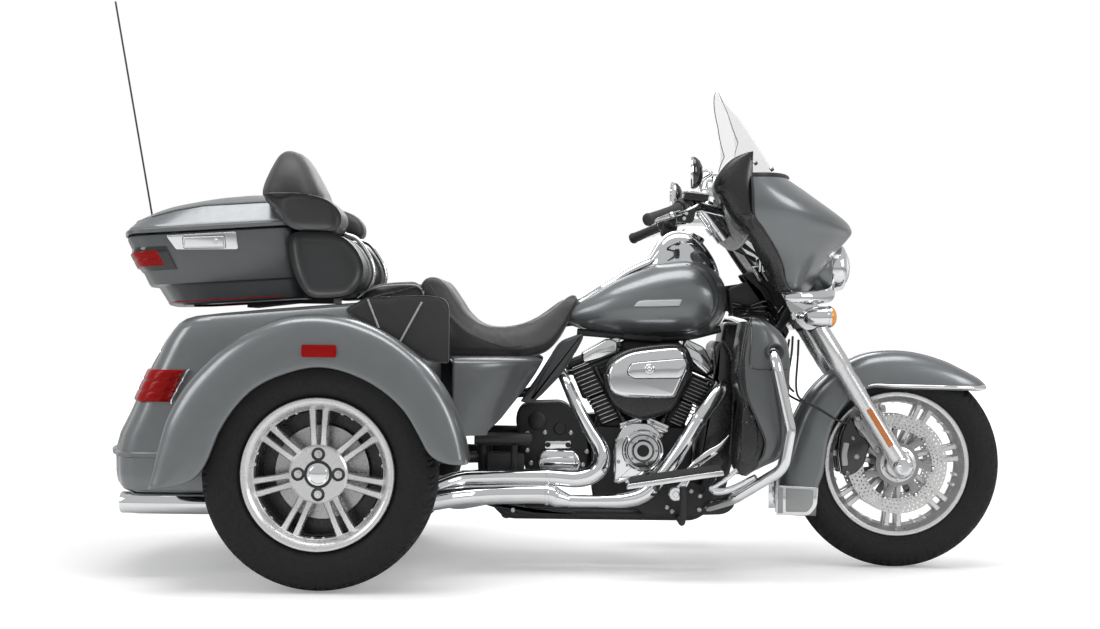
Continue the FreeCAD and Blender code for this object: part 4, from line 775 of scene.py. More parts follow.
for side, word in SIDES:
    levels = np.linspace(117, 160, 15)
    ribs = 11 - 1.5 * (np.abs(np.sin((levels - 117) / 43 * np.pi * 2)) < 0.35)
    lens = box_band(levels, ribs, lambda u, y: (y * side > 120) & (u < 12))
    piece(word + "_box_lamp", [skin(from_box(closed_band(lens, 9, side)))], red_lens, "chassis",
          crease=30)
    frame_band = box_band(np.linspace(104, 172, 9), (2, 5, 6, 6, 6, 6, 6, 5, 2),
                          lambda u, y: (y * side > 100) & (u < 48))
    piece(word + "_box_lamp_surround", [skin(from_box(closed_band(frame_band, 4, side)))], gloss_black,
          "chassis")
    low = box_band(np.linspace(1, 13, 5), (0, 3, 3.5, 3, 0), lambda u, y: (y * side > 60) & (u < 345))
    piece(word + "_box_reflector", [skin(from_box(closed_band(low, 2, side)))], red_lens, "chassis")


def on_box_side(surface, side):
    """Surface (u, out, w) laid on the sloping side of the box: y = side*(half width at w + out)."""
    points, faces = surface
    half = np.interp(points[:, 2], table[:, 0], table[:, 3])
    return from_box(np.column_stack([points[:, 0], side * (half + points[:, 1]), points[:, 2]])), faces


for side, word in SIDES:
    plate = raised([(52, 160, 6), (232, 150, 8), (229, 202, 6), (26, 202, 8)], 0.5, 4.0, 1.5)
    flap = raised([(78, 165, 4), (192, 159, 4), (192, 191, 4), (78, 193, 4)], 2, 6.5, 2)
    barrel = lathe([(0, 7), (7, 7), (8, 6), (8, 4), (10, 4), (11, 2), (11, 0)], (168, 0, 177), Y, 32)
    surfaces = [on_box_side(part, side) for part in (plate, flap, barrel)]
    piece(word + "_latch_plate", surfaces, chrome, "chassis")
    bay = rounded([(74, 162, 5), (196, 156, 5), (196, 194, 5), (74, 196, 5)])
    ring = bar(at_side(even(bay, 80), 4.2), 1.0, 6, caps=False)
    piece(word + "_latch_shadow_line", [on_box_side(ring, side)], gloss_black, "chassis")

# %% [markdown]
# ## Speaker pods
# Behind the passenger's back, a thick rounded pod closes each front corner of the box. It is a slab with a
# very large rim. A chrome rail follows its front edge on the inner side.

# %% Pods and rails
charcoal = finish("charcoal_plastic", (0.040, 0.041, 0.043), (0.034, 0.035, 0.037), rough=(0.34, 0.42),
                  patch=40, grain=2200, depth=0.00006, cells=True)
POD = [(-742, 984, 36), (-604, 986, 44), (-552, 950, 40), (-524, 900, 40), (-522, 862, 40), (-540, 824, 40),
       (-572, 800, 40), (-680, 794, 40), (-716, 846, 40), (-734, 909, 40)]
RAIL = [(-600, 988), (-566, 976), (-540, 945), (-518, 905), (-512, 866), (-528, 826), (-560, 800)]
for side, word in SIDES:
    body = slab(even(rounded(POD), 160), side * 150, side * 290, 30, steps=9)
    piece(word + "_speaker_pod", [body], charcoal, "chassis",
          "speaker_pods" if side < 0 else "")
    piece(word + "_pod_rail", [bar(at_side(smooth(RAIL, 50), side * 160), 6.5, 14)], chrome, "chassis")
    face = lathe([(0, 0), (34, 0), (36, 2), (40, 2), (42, 0)], (-556, side * 215, 900), (1, 0, 0.25), 48)
    piece(word + "_pod_speaker_grille", [face], black_plastic, "chassis")

# %% [markdown]
# ## Seat, backrest and arm pads
# Upholstery is foam under vinyl, so each cushion starts as a firm form a little smaller than the real one,
# and a short cloth simulation lets it swell against its own cover. The swelling is capped, so the crease
# between the seat's top and its side stays where it is. Seams are laid on afterwards as fine cords.

# %% A cushion that swells
SWELL_FRAMES = 20


def stuffed(thing, voxel, cap, pressure=4.0):
    """Remeshes a closed form evenly, inflates it as cloth and keeps each move within the cap (m)."""
    mesh = thing.data
    mesh.remesh_voxel_size = voxel
    bpy.context.view_layer.objects.active = thing
    bpy.ops.object.voxel_remesh()
    before = np.zeros(len(mesh.vertices) * 3)
    mesh.vertices.foreach_get("co", before)
    before = before.reshape(-1, 3)
    cloth = thing.modifiers.new("cover", "CLOTH")
    cloth.settings.use_pressure = True
    cloth.settings.uniform_pressure_force = pressure
    cloth.settings.effector_weights.gravity = 0
    cloth.settings.quality = 5
    for number in range(1, SWELL_FRAMES + 1):
        bpy.context.scene.frame_set(number)
    swollen = thing.evaluated_get(bpy.context.evaluated_depsgraph_get()).data
    after = np.zeros(len(swollen.vertices) * 3)
    swollen.vertices.foreach_get("co", after)
    thing.modifiers.remove(cloth)
    move = after.reshape(-1, 3) - before
    length = np.linalg.norm(move, axis=1, keepdims=True)
    before += move * np.minimum(1, cap / np.maximum(length, 1e-9))
    mesh.vertices.foreach_set("co", before.ravel())
    bpy.context.scene.frame_set(1)
    mesh.shade_smooth()
    finer = thing.modifiers.new("finer", "SUBSURF")
    finer.levels = finer.render_levels = 1
    print(thing.name, len(mesh.vertices), "points in the cover")


print("cushions swell in", SWELL_FRAMES, "frames")

# %% Rider's seat
RIDER = [            # x, bottom, crease, top, half width, half width of the top
    (-374, 700, 760, 838, 172, 150), (-356, 650, 772, 862, 186, 158), (-330, 630, 776, 867, 190, 160),
    (-300, 627, 762, 851, 192, 160), (-265, 625, 730, 800, 194, 158), (-236, 624, 702, 758, 195, 156),
    (-199, 624, 680, 728, 194, 152), (-149, 624, 664, 716, 190, 146), (-85, 626, 660, 722, 178, 132),
    (-35, 634, 668, 741, 158, 112), (8, 652, 690, 770, 130, 90), (40, 690, 724, 798, 102, 70),
    (66, 742, 768, 819, 80, 52), (84, 780, 793, 823, 62, 40), (92, 795, 803, 814, 46, 30),
]


def seat_section(x, bottom, crease, top, half, crown):
    """Cross-section: flat bottom, sides that lean in above the crease, and a top with a shallow hollow."""
    near = [(half * 0.55, bottom), (half * 0.9, bottom + 4), (half, bottom + 22),
            (half + 2, (bottom + crease) / 2 + 8), (half, crease), (half * 0.97, crease + 12),
            ((half + crown) / 2, (crease * 0.35 + top * 0.65)), (crown, top - 3), (crown * 0.6, top - 1),
            (crown * 0.25, top - 5)]
    points = [(0, bottom)] + near + [(0, top - 6)] + [(-y, z) for y, z in near[::-1]]
    return [(x, y, z) for y, z in points]


rider = piece("rider_seat", [stretched([seat_section(*row) for row in RIDER], 90, 132)], vinyl, "chassis",
              "seat")
stuffed(rider, 0.006, 0.005)

# %% Passenger's seat
PILLION = [            # x, bottom, crease, top, half width, half width of the top
    (-556, 778, 786, 800, 150, 130), (-545, 768, 796, 816, 178, 158), (-520, 762, 812, 832, 192, 172),
    (-470, 756, 822, 842, 198, 178), (-420, 720, 826, 846, 200, 180), (-385, 690, 826, 846, 198, 178),
    (-368, 690, 812, 832, 190, 170),
]
pillion = piece("passenger_seat", [stretched([seat_section(*row) for row in PILLION], 50, 132)], vinyl,
                "chassis")
stuffed(pillion, 0.006, 0.005)
SIDE_FLAP = [(-520, 800, 12), (-372, 836, 10), (-352, 800, 20), (-414, 655, 14), (-470, 690, 40),
             (-540, 760, 20)]
for side, word in SIDES:
    flap = slab(even(rounded(SIDE_FLAP), 140), side * 150, side * 199, 12, steps=6)
    stuffed(piece(word + "_seat_flap", [flap], vinyl, "chassis"), 0.005, 0.003)

# %% Piping and seams
piping = finish("silver_piping", (0.42, 0.42, 0.42), (0.36, 0.36, 0.36), rough=(0.35, 0.45), patch=200,
                grain=1200, depth=0.0002, cells=True)
LINES = [            # name, radius, finish, points (x, y outwards, z)
    ("upper_piping", 2.6, piping,
     [(-548, 176, 812), (-500, 194, 830), (-440, 200, 838), (-385, 200, 838), (-366, 196, 826)]),
    ("slant_piping", 2.6, piping,
     [(-360, 198, 822), (-366, 201, 796), (-390, 202, 736), (-412, 201, 684), (-417, 198, 664)]),
    ("saddle_seam", 1.4, vinyl,
     [(-346, 176, 842), (-318, 190, 800), (-284, 197, 752), (-240, 198, 708), (-190, 196, 682),
      (-120, 184, 661), (-70, 170, 664)]),
]
for name, radius, material, line in LINES:
    surfaces = [tube([(x, side * y, z) for x, y, z in line], radius, 60, 10) for side in (-1, 1)]
    piece("seat_" + name, surfaces, material, "chassis")

# %% Backrest and arm pads
BACK = [            # z, rear x, front x, half width
    (1066, -840, -640, 150), (1092, -858, -668, 168), (1118, -862, -680, 172), (1160, -846, -702, 160),
    (1200, -828, -724, 134), (1228, -814, -746, 104), (1243, -800, -768, 70), (1247, -790, -780, 40),
]


def oval(z, rear, ahead, half):
    """Rounded oblong in plan at a height."""
    a = np.radians(np.arange(0, 360, 22.5))
    x, y = np.cos(a), np.sin(a)
    return np.column_stack([(rear + ahead) / 2 + (ahead - rear) / 2 * signed_power(x, 0.7),
                            half * signed_power(y, 0.6), np.full(16, z)])


backrest = piece("backrest_pad", [stretched([oval(*row) for row in BACK], 40, 96)], vinyl, "tour_lid",
                 "lid_backrest")
stuffed(backrest, 0.006, 0.006)
ARM = [(-822, 1096, 14), (-786, 1054, 30), (-738, 994, 24), (-590, 992, 26), (-584, 1034, 30),
       (-610, 1066, 30), (-650, 1084, 30), (-720, 1096, 30)]
for side, word in SIDES:
    arm = slab(even(rounded(ARM), 150), side * 190, side * 290, 26, steps=8)
    stuffed(piece(word + "_arm_pad", [arm], vinyl, "tour_lid"), 0.006, 0.004)
WRAP = [(-836, 1092, 20), (-800, 1062, 30), (-746, 1010, 20), (-640, 1004, 20), (-640, 1078, 30),
        (-700, 1100, 30)]
wrap = slab(even(rounded(WRAP), 150), -210, 210, 18, steps=6)
stuffed(piece("lumbar_pad", [wrap], vinyl, "tour_lid"), 0.006, 0.004)

# %% Seat side panels and their piping
# Below the passenger's cushion a padded vinyl panel covers the body's flank down to the fender, with two pale
# lines.
SIDE_PANEL = [(-566, 764, 20), (-500, 800, 16), (-340, 808, 16), (-264, 800, 40), (-264, 614, 6),
              (-330, 616, 30), (-392, 660, 40), (-460, 704, 40), (-520, 730, 30)]
panel_lines = [bar([(x0, -442, z0), (x1, -442, z1)], 3, 10) for x0, z0, x1, z1 in
               ((-495, 792, -463, 712), (-343, 786, -402, 676))]
for side, word in SIDES:
    panel = slab(even(rounded(SIDE_PANEL), 140), side * 422, side * 438, 5)
    stuffed(piece(word + "_seat_panel", [panel], vinyl, "chassis"), 0.005, 0.003)
piece("seat_panel_piping", both(*panel_lines), piping, "chassis")

# %% [markdown]
# ## Fuel tank and console
# The tank is a teardrop: at every step along the machine its cross-section is a superellipse, a curve between
# an ellipse and a box. Because that curve can be solved for y, thin lines and a pale stripe can be laid
# exactly on the tank's flank from a drawing of its side. The chrome console is a ridge of arches that ends in
# a round dome.

# %% Tank
TANK = np.array([            # x, bottom, top, half width
    (44, 742, 750, 18), (50, 737, 758, 44), (87, 722, 795, 78), (139, 708, 828, 108), (203, 700, 868, 134),
    (268, 694, 897, 152), (333, 691, 920, 163), (397, 690, 932, 168), (443, 692, 931, 167),
    (480, 699, 921, 158), (505, 711, 905, 142), (528, 733, 881, 112), (540, 752, 862, 86),
    (548, 775, 840, 54), (551, 796, 818, 20),
])
FULLNESS = 2.35
tank_rows = smooth(TANK, 120)
angle = np.radians(np.arange(0, 360, 3.0))
cos_part, sin_part = (signed_power(wave(angle), 2 / FULLNESS) for wave in (np.cos, np.sin))
x, low, high, half = (tank_rows[:, k, None] for k in range(4))
grid = np.stack([np.broadcast_to(x, (120, 120)), half * cos_part,
                 (low + high) / 2 + (high - low) / 2 * sin_part], 2)
piece("fuel_tank_skin", [skin(grid, round_way=True, caps=(True, True))], paint, "chassis",
      "fuel_tank")


def on_tank(line, out):
    """Side drawing (x, z) set on the right flank: y = half*(1 - |dz/h|^n)^(1/n), then pushed out."""
    low, high, half = (np.interp(line[:, 0], tank_rows[:, 0], tank_rows[:, k]) for k in (1, 2, 3))
    share = np.clip(np.abs((line[:, 1] - (low + high) / 2) / ((high - low) / 2)), 0, 0.995)
    return np.column_stack([line[:, 0], -half * (1 - share**FULLNESS) ** (1 / FULLNESS) - out, line[:, 1]])


# %% Pinstripes and stripe
pinstripe = finish("dark_pinstripe", (0.020, 0.024, 0.028), rough=(0.3, 0.36), patch=80, Coat_Weight=0.5)
pale_stripe = finish("pale_stripe", (0.55, 0.58, 0.58), (0.52, 0.55, 0.55), rough=(0.3, 0.36), patch=80,
                     Coat_Weight=0.5)
OUTER_LINE = [(98, 792), (150, 826), (220, 868), (290, 898), (350, 915), (408, 922), (452, 912), (486, 888),
              (508, 850), (515, 806), (504, 762), (474, 728), (430, 712), (360, 708), (330, 707), (312, 698),
              (262, 699)]
INNER_LINE = [(418, 914), (452, 897), (480, 866), (497, 826), (500, 788), (488, 752), (462, 730), (436, 720)]
lines = []
for line in (OUTER_LINE, INNER_LINE):
    run = smooth(line, 150)
    across = np.gradient(run, axis=0)[:, ::-1] * (-1, 1)
    across /= np.linalg.norm(across, axis=1, keepdims=True)
    ribbon = np.stack([on_tank(run + 1.3 * across, 0.6), on_tank(run - 1.3 * across, 0.6)], 1)
    lines += both(skin(ribbon))
piece("tank_pinstripes", lines, pinstripe, "chassis", wall=0.4)
top_edge = smooth([(264, 788), (280, 800), (340, 804), (404, 806)], 40)
low_edge = smooth([(262, 784), (290, 784), (340, 785), (396, 787)], 40)
for name, grow, out, material in (("edge", 2.2, 0.35, pinstripe), ("fill", 0.0, 0.7, pale_stripe)):
    share = np.linspace(0, 1, 7)[None, :, None]
    flat = (top_edge[:, None] + (0, grow)) * (1 - share) + (low_edge[:, None] - (0, grow)) * share
    stripe = on_tank(flat.reshape(-1, 2), out).reshape(40, 7, 3)
    piece("tank_stripe_" + name, both(skin(stripe)), material, "chassis", wall=0.3)

# %% Console and filler dome
CONSOLE = [            # x, top, half width, sink into the tank
    (92, 806, 16, 22), (116, 822, 34, 30), (160, 852, 50, 40), (207, 881, 57, 45), (250, 909, 60, 48),
    (290, 929, 62, 50), (312, 940, 63, 52), (326, 962, 66, 70), (342, 988, 70, 90), (366, 1010, 74, 110),
    (398, 1020, 76, 120), (436, 1014, 75, 120), (466, 993, 70, 110), (492, 962, 62, 90), (512, 930, 50, 70),
    (524, 900, 34, 50), (530, 876, 14, 30),
]


def console_section(x, top, half, sink):
    """Arch: upright low sides, a shoulder, and a crowned top."""
    near = [(half, top - sink), (half, top - sink * 0.5), (half * 0.96, top - sink * 0.28),
            (half * 0.8, top - sink * 0.11), (half * 0.5, top - sink * 0.03)]
    return [(x, y, z) for y, z in near + [(0, top)] + [(-y, z) for y, z in near[::-1]] + [(0, top - sink)]]


surfaces = [stretched([console_section(*row) for row in CONSOLE], 110, 72)]
piece("tank_console_skin", surfaces, chrome, "chassis", "tank_console", crease=30)
seam = smooth([(x, half + 1.2, top - sink * 0.52) for x, top, half, sink in CONSOLE[:8]], 60)
piece("console_gasket", [bar(seam * (1, side, 1), 1.6, 8) for side in (-1, 1)], black_plastic, "chassis")
bezel = lathe([(0, 0), (30, 0), (31, 2), (38, 3), (40, 0), (40, -12)], (446, 0, 1008), (0.42, 0, 0.9), 64)
piece("console_gauge_ring", [bezel], chrome, "chassis")
face = lathe([(0, 1.5), (29, 1.5), (29.5, 0)], (446, 0, 1009), (0.42, 0, 0.9), 48)
piece("console_gauge_glass", [face], gloss_black, "chassis")

# %% [markdown]
# ## Fairing
# The fairing is a bat-winged bowl. Each of its rows starts at a point on the centre line, far forward, and
# ends at a point on the rear edge, far out to the side; between the two it follows a quarter of a
# superellipse in plan. Between rows the surface is smooth, apart from the brow over the headlamp, where the
# rows lie close.

# %% Outer fairing
FAIRING = [            # centre x, centre z, edge x, edge z, half width, roundness
    (800, 840, 728, 831, 196, 1.9), (812, 853, 716, 842, 212, 1.9), (832, 884, 700, 862, 240, 1.9),
    (856, 918, 688, 898, 275, 1.95), (876, 950, 668, 934, 312, 2.0), (898, 976, 640, 974, 345, 2.0),
    (914, 994, 612, 1008, 368, 2.0), (926, 1012, 594, 1028, 380, 2.05), (922, 1026, 586, 1052, 388, 2.1),
    (908, 1042, 584, 1074, 392, 2.15), (872, 1067, 583, 1098, 394, 2.2), (812, 1107, 582, 1122, 393, 2.2),
    (758, 1144, 581, 1142, 389, 2.2), (724, 1166, 581, 1156, 384, 2.2),
]
rows = smooth(FAIRING, 96)
turn = np.radians(np.linspace(-90, 90, 121))
cx, cz, ex, ez, half, power = (rows[:, k, None] for k in range(6))
forward = np.abs(np.cos(turn)) ** (2 / power)
sideways = signed_power(np.sin(turn), 2 / power)
bowl = np.stack([ex + (cx - ex) * forward, half * sideways, ez + (cz - ez) * forward**1.4], 2)
LAMP_Z = 912
points, faces = skin(bowl)
centres = points[np.array(faces)].mean(1)
in_lamp = (np.hypot(centres[:, 1], centres[:, 2] - LAMP_Z) < 66) & (centres[:, 0] > 780)
kept = [face for face, hole in zip(faces, in_lamp) if not hole]
piece("outer_fairing_skin", [(points, kept)], paint, "steering", "outer_fairing", crease=34, wall=4)
top_trim = bar(bowl[-1] + (1, 0, 2), 4, 8, flat=1.6, reference=Z)
piece("fairing_edge_trim", [bar(bowl[6:, 0], 3.2, 10), bar(bowl[6:, -1], 3.2, 10), top_trim], black_plastic,
      "steering")

# %% Inner fairing
WING = smooth([(581, 1198), (574, 1216), (561, 1223), (548, 1222), (524, 1210), (499, 1184), (479, 1150),
               (480, 1122), (500, 1090), (520, 1056), (545, 1020), (581, 990)], 48)
y = np.linspace(-1, 1, 97)
share = np.clip((1 - np.abs(y)) / 0.13, 0, 1)
depth = np.sin(share * np.pi / 2) ** 0.7 * (1 - 0.3 * np.clip(1 - np.abs(y) / 0.75, 0, 1) ** 0.5)
wing = np.stack([583 - depth * (583 - WING[:, None, 0]), 388 * y + 0 * WING[:, None, 0],
                 WING[:, None, 1] - 26 * (1 - np.abs(y) ** 2)], 2)
LINER = smooth([(586, 1044, 541, 1044, 390), (616, 1012, 566, 1012, 372), (645, 968, 598, 958, 344),
                (675, 920, 630, 905, 308), (700, 862, 658, 862, 246), (724, 832, 690, 824, 200)], 40)
outside = np.column_stack([LINER[:, 0], -LINER[:, 4] + 3, LINER[:, 1]])
inside = np.column_stack([LINER[:, 2], -LINER[:, 4] + 34, LINER[:, 3]])
fold = (outside + inside) / 2 + (-12, -14, 0)
liner = skin(smooth(np.stack([outside, fold, inside]).reshape(3, -1), 9).reshape(9, 40, 3))
piece("inner_fairing_skin", [skin(wing), *both(liner)], satin_black, "steering",
      "inner_fairing", crease=40, wall=3)
gauges, glasses = [], []
for y in (-250, -90, 90, 250):
    radius = 30 if abs(y) > 200 else 46
    spot = (500 if abs(y) > 200 else 504, y, 1140)
    gauges.append(lathe([(radius + 4, 30), (radius + 4, -4), (radius + 2, -8), (radius, -4), (radius, 0)],
                        spot, X, 48))
    glasses.append(lathe([(0, -2), (radius, -2), (radius, 6)], spot, X, 48))
piece("gauge_rings", gauges, chrome, "steering")
piece("gauge_faces", glasses, gloss_black, "steering")

# %% Windshield
t = np.linspace(0, 1, 40)[:, None]
u = np.linspace(-1, 1, 61)[None]
top_edge = 1447 - 148 * np.abs(u) ** 2.3 - 30 * np.abs(u) ** 8
base = 1160 + 20 * np.abs(u) ** 2
z = base + (top_edge - base) * t
wide = 282 - 60 * t**0.7 - 22 * t**3
centre_x = np.interp(z, [1140, 1178, 1271, 1360, 1447], [728, 706, 648, 588, 513])
y = wide * u
screen_grid = np.stack([centre_x - 128 * (np.abs(y) / 240) ** 2, y + 0 * z, z], 2)
piece("windshield_sheet", [skin(screen_grid)], clear_screen, "steering", "windshield", wall=3.5,
      crease=60)
edge = np.vstack([screen_grid[:, 0], screen_grid[-1, 1:-1], screen_grid[::-1, -1]])
screen_edge = finish("screen_edge", (0.10, 0.11, 0.11), rough=(0.1, 0.2), patch=60, Coat_Weight=0.5)
piece("windshield_edge", [bar(edge, 1.3, 8)], screen_edge, "steering")
screws = []
for y in (-220, -110, 0, 110, 220):
    low = 1196 + abs(y) * 0.06
    x = np.interp(low, [1178, 1271], [706, 648]) - 92 * (abs(y) / 240) ** 2
    screws.append(lathe([(0, 4), (5, 4), (7, 2), (7, -6)], (x + 2, y, low), (0.8, 0, 0.6), 20))
piece("windshield_screws", screws, steel, "steering")

# %% [markdown]
# ## Headlamp, lamp bar and signals
# A headlamp is a bowl that reflects, a bulb in front of it, and a domed glass held by a bright ring. All of
# them are spun. Below it a chrome bar runs round the foot of the fairing and carries the two bullet-shaped
# signals.

# %% Headlamp and painted nacelle
lamp_at = (872, 0, LAMP_Z)
nacelle = [(84, -96), (88, -70), (88, -44), (84, -24), (76, -10), (66, -4), (60, -2)]
piece("lamp_nacelle", [lathe(nacelle, lamp_at, X, 72)], paint, "steering", wall=2)
ring = [(60, -6), (70, -6), (72, 0), (71, 22), (66, 34), (60, 38), (57, 36), (56, 28), (58, 6), (60, -6)]
piece("headlamp_ring", [lathe(ring, lamp_at, X, 96)], chrome, "steering", "headlamp")
piece("headlamp_bowl", [lathe([(8, -52), (30, -42), (46, -22), (55, 6), (57, 24)], lamp_at, X, 72),
                        lathe([(0, -30), (9, -28), (10, -8), (6, -2), (0, 0)], lamp_at, X, 32)], chrome,
      "steering")
arc = np.linspace(0, 1, 14) * np.pi / 2
dome = np.column_stack([59 * np.sin(arc), 30 * np.cos(arc)])
piece("headlamp_glass", [lathe(dome, (898, 0, LAMP_Z), X, 72)], lamp_glass, "steering", wall=2)

# %% Chrome lamp bar
SIGNAL_AT = (802, -205, 759)
near = [(704, -206, 814), (752, -204, 816), (812, -170, 818), (852, -100, 828), (868, 0, 838)]
sweep = smooth(near + [(x, -y, z) for x, y, z in near[-2::-1]], 90)
swell = 7 + 6 * np.sin(np.linspace(0, np.pi, 90)) ** 0.6
apron = [(706, 812, 8), (752, 816, 20), (806, 800, 20), (818, 768, 16), (806, 728, 16), (776, 716, 16),
         (748, 734, 16), (722, 776, 16)]
plate = raised(apron, -176, -166, 3)
stalk = tube([(742, -150, 762), (752, -186, 762), (776, -204, 760)], 11, 20, 16)
boss = lathe([(0, 8), (9, 8), (11, 5), (11, -4)], (736, -176, 760), -Y, 32)
bullet = [(0, -44), (12, -42), (22, -34), (29, -16), (31, 6), (31, 30), (29, 34), (26, 34)]
signal = lathe(bullet, SIGNAL_AT, X, 48)
hood = lathe([(28, 28), (32.5, 28), (33, 31), (32.5, 36), (29, 36)], SIGNAL_AT, X, 48)
sweep_bar = bar(sweep, swell, 20, flat=1.7, reference=Z)
piece("lamp_bar_chrome", [sweep_bar, *both(plate, stalk, boss, signal, hood)], chrome, "steering",
      "lamp_bar", crease=30)
arc = np.linspace(0, 1, 8) * np.pi / 2
lens = lathe(np.column_stack([30 * np.sin(arc), 36 + 18 * np.cos(arc)]), SIGNAL_AT, X, 48)
piece("signal_lens_domes", both(lens), amber_lens, "steering", "signal_lenses")

# %% [markdown]
# ## Fork
# Distances along a fork leg are measured from the axle, up the leg. The slider is a spun profile: a clamp
# round the axle, a slim body and a collar; the dark cover above it reaches the lower crown.

# %% Fork legs
LEG_ANGLE = 32
lean = np.radians(LEG_ANGLE)
UP_LEG = np.array([-np.sin(lean), 0, np.cos(lean)])
AHEAD_LEG = np.array([np.cos(lean), 0, np.sin(lean)])
LEG_Y = 120


def on_leg(distance, ahead=0.0, side=0.0):
    """Point on the right leg: axle + up*distance + ahead*forward, side outwards."""
    return front_axle * (1, 0, 1) + UP_LEG * distance + AHEAD_LEG * ahead + (0, -LEG_Y - side, 0)


slider_metal = finish("polished_slider", (0.74, 0.74, 0.75), (0.68, 0.68, 0.69), metallic=0.9,
                      rough=(0.2, 0.28), patch=60)
slider = [(0, -36), (20, -36), (27, -30), (29, -10), (29, 30), (27.5, 60), (27.5, 330), (29.5, 338),
          (29.5, 352), (31, 356), (29, 486)]
leg = lathe(slider, on_leg(0), UP_LEG, 48)
clamp = lathe([(0, 16), (26, 16), (29, 12), (29, -20), (24, -24)], on_leg(0, 0, 12), -Y, 48)
piece("fork_sliders", both(leg, clamp), slider_metal, "steering", "fork")
cover = lathe([(30, 486), (30, 500), (27.5, 504), (27.5, 745)], on_leg(0), UP_LEG, 48)
axle_end = lathe([(0, 40), (14, 40), (19, 36), (20, 28), (26, 26), (26, 16)], on_leg(0, 0, 14), -Y, 6)
cap = lathe([(0, 26), (22, 26), (25, 23), (25, 12)], on_leg(0, 0, 14), -Y, 48)
piece("fork_covers", both(cover), satin_black, "steering")
piece("axle_caps", both(axle_end, cap), chrome, "steering")
axle_bar = lathe([(0, -122), (11.5, -122), (11.5, 122), (0, 122)], front_axle * (1, 0, 1), Y, 32)
piece("front_axle_bar", [axle_bar], steel, "steering")
strip = [(643, 918, 8), (676, 920, 12), (712, 866, 10), (792, 748, 8), (756, 728, 8), (700, 824, 10)]
shield = raised(strip, -158, -152, 2)
bolt = lathe([(0, 8), (9, 8), (10, 5), (10, 0)], (659, -158, 912), -Y, 24)
piece("fork_shields", both(shield), chrome, "steering")
piece("fork_shield_bolts", both(bolt), black_metal, "steering")
reflector = [tuple(on_leg(d, a)[[0, 2]]) + (3,) for d, a in ((70, -8), (70, 9), (200, 9), (200, -8))]
strip = raised(reflector, -LEG_Y - 30, -LEG_Y - 20, 1.5)
fork_amber = finish("amber_reflector", (0.60, 0.20, 0.035), (0.50, 0.15, 0.025), rough=(0.2, 0.3), patch=200,
                    grain=320, depth=0.0005, cells=True, Coat_Weight=0.5)
piece("fork_reflectors", both(strip), fork_amber, "steering")

# %% Neck covers
NECK = [(590, 886, 6), (626, 898, 10), (740, 716, 6), (728, 690, 6), (690, 742, 20), (648, 832, 10),
        (600, 868, 8)]
LOOM = [(548, 842, 16), (624, 872, 16), (672, 848, 20), (700, 790, 20), (664, 738, 20), (560, 764, 20)]
covers = [raised(NECK, -50, -36, 6), raised(LOOM, -48, -30, 8)]
wires = [tube([(565, -56 - 3 * k, 800 - 12 * k), (612, -60 - 2 * k, 792 - 8 * k),
               (668, -60 - k, 806 - 16 * k), (698, -60, 766 - 10 * k)], 4, 30, 8) for k in range(4)]
piece("neck_covers", both(*covers), black_plastic, "chassis")
piece("neck_wires", both(*wires), gloss_black, "chassis")

# %% [markdown]
# ## Front mudguard
# Each row of the mudguard joins a point on its lower edge to a point on its crown. Across the row the skin is
# a superellipse again: nearly upright cheeks, a round shoulder and a slightly flattened crown.

# %% Mudguard
FENDER = np.array([            # low x, low z, crown x, crown z, half width
    (1338, 546, 1346, 552, 14), (1334, 543, 1343, 560, 34), (1322, 542, 1333, 570, 54),
    (1300, 542, 1312, 584, 72), (1256, 543, 1268, 607, 84), (1200, 544, 1209, 633, 88),
    (1120, 545, 1122, 655, 89), (1050, 546, 1052, 659, 89), (988, 548, 975, 648, 89),
    (944, 530, 905, 617, 89), (900, 486, 848, 576, 89), (872, 440, 800, 522, 89), (856, 390, 762, 452, 89),
    (848, 330, 733, 372, 89), (840, 286, 716, 300, 89), (826, 246, 712, 240, 89), (822, 196, 711, 196, 89),
    (820, 160, 711, 160, 89),
])
rows = smooth(FENDER, 150)
turn = np.radians(np.linspace(-90, 90, 73))
lx, lz, tx, tz, half = (rows[:, k, None] for k in range(5))
FENDER_ROUND = 2 / 3.0
rise = np.abs(np.cos(turn)) ** FENDER_ROUND
aside = signed_power(np.sin(turn), FENDER_ROUND)
guard = np.stack([lx + (tx - lx) * rise, half * aside, lz + (tz - lz) * rise], 2)
piece("front_fender_skin", [skin(guard)], paint, "steering", "front_fender", crease=50, wall=3)
ridge = [bar(guard[8:118, k], 1.6, 8) for k in (33, 39)]
piece("fender_ridge_lines", ridge, paint, "steering")

# %% Chrome rail and nose of the mudguard
nose = guard[:14].copy()
middle_line = nose.mean(1, keepdims=True)
nose = middle_line + (nose - middle_line) * 1.05 + (2, 0, 0)
rail_path = guard[8:74, 0] + (0, -4, 9)
rail = bar(rail_path, np.interp(np.arange(66), [0, 6, 16, 50, 65], [9, 9, 7, 5.5, 2]), 12)
piece("fender_rail", [skin(nose), *both(rail)], chrome, "steering", "fender_trim", wall=1.5)
tip_silver = finish("tip_silver", (0.36, 0.37, 0.37), (0.32, 0.33, 0.33), metallic=0.7, rough=(0.3, 0.4),
                    patch=50)
frame_line = [(700, 252, 2), (826, 246, 4), (822, 190, 10), (800, 162, 12), (700, 162, 2)]
panel_line = [(728, 244, 6), (812, 240, 8), (810, 194, 10), (794, 172, 10), (728, 172, 6)]
frame_plate = raised(frame_line, -94, -89, 1.5)
panel = raised(panel_line, -97, -93, 1.2)
strap = raised([(704, 246, 2), (720, 246, 2), (720, 168, 2), (704, 168, 2)], -97, -93, 1.2)
piece("fender_tip_frames", both(frame_plate), chrome, "steering")
piece("fender_tip_panels", both(panel, strap), tip_silver, "steering")

# %% [markdown]
# ## Front brakes
# The rotor's band is a ring of cells, each with a drilled hole. The cells run along spirals, so that the
# holes of neighbouring rows are staggered, and the corners of neighbouring cells still meet.

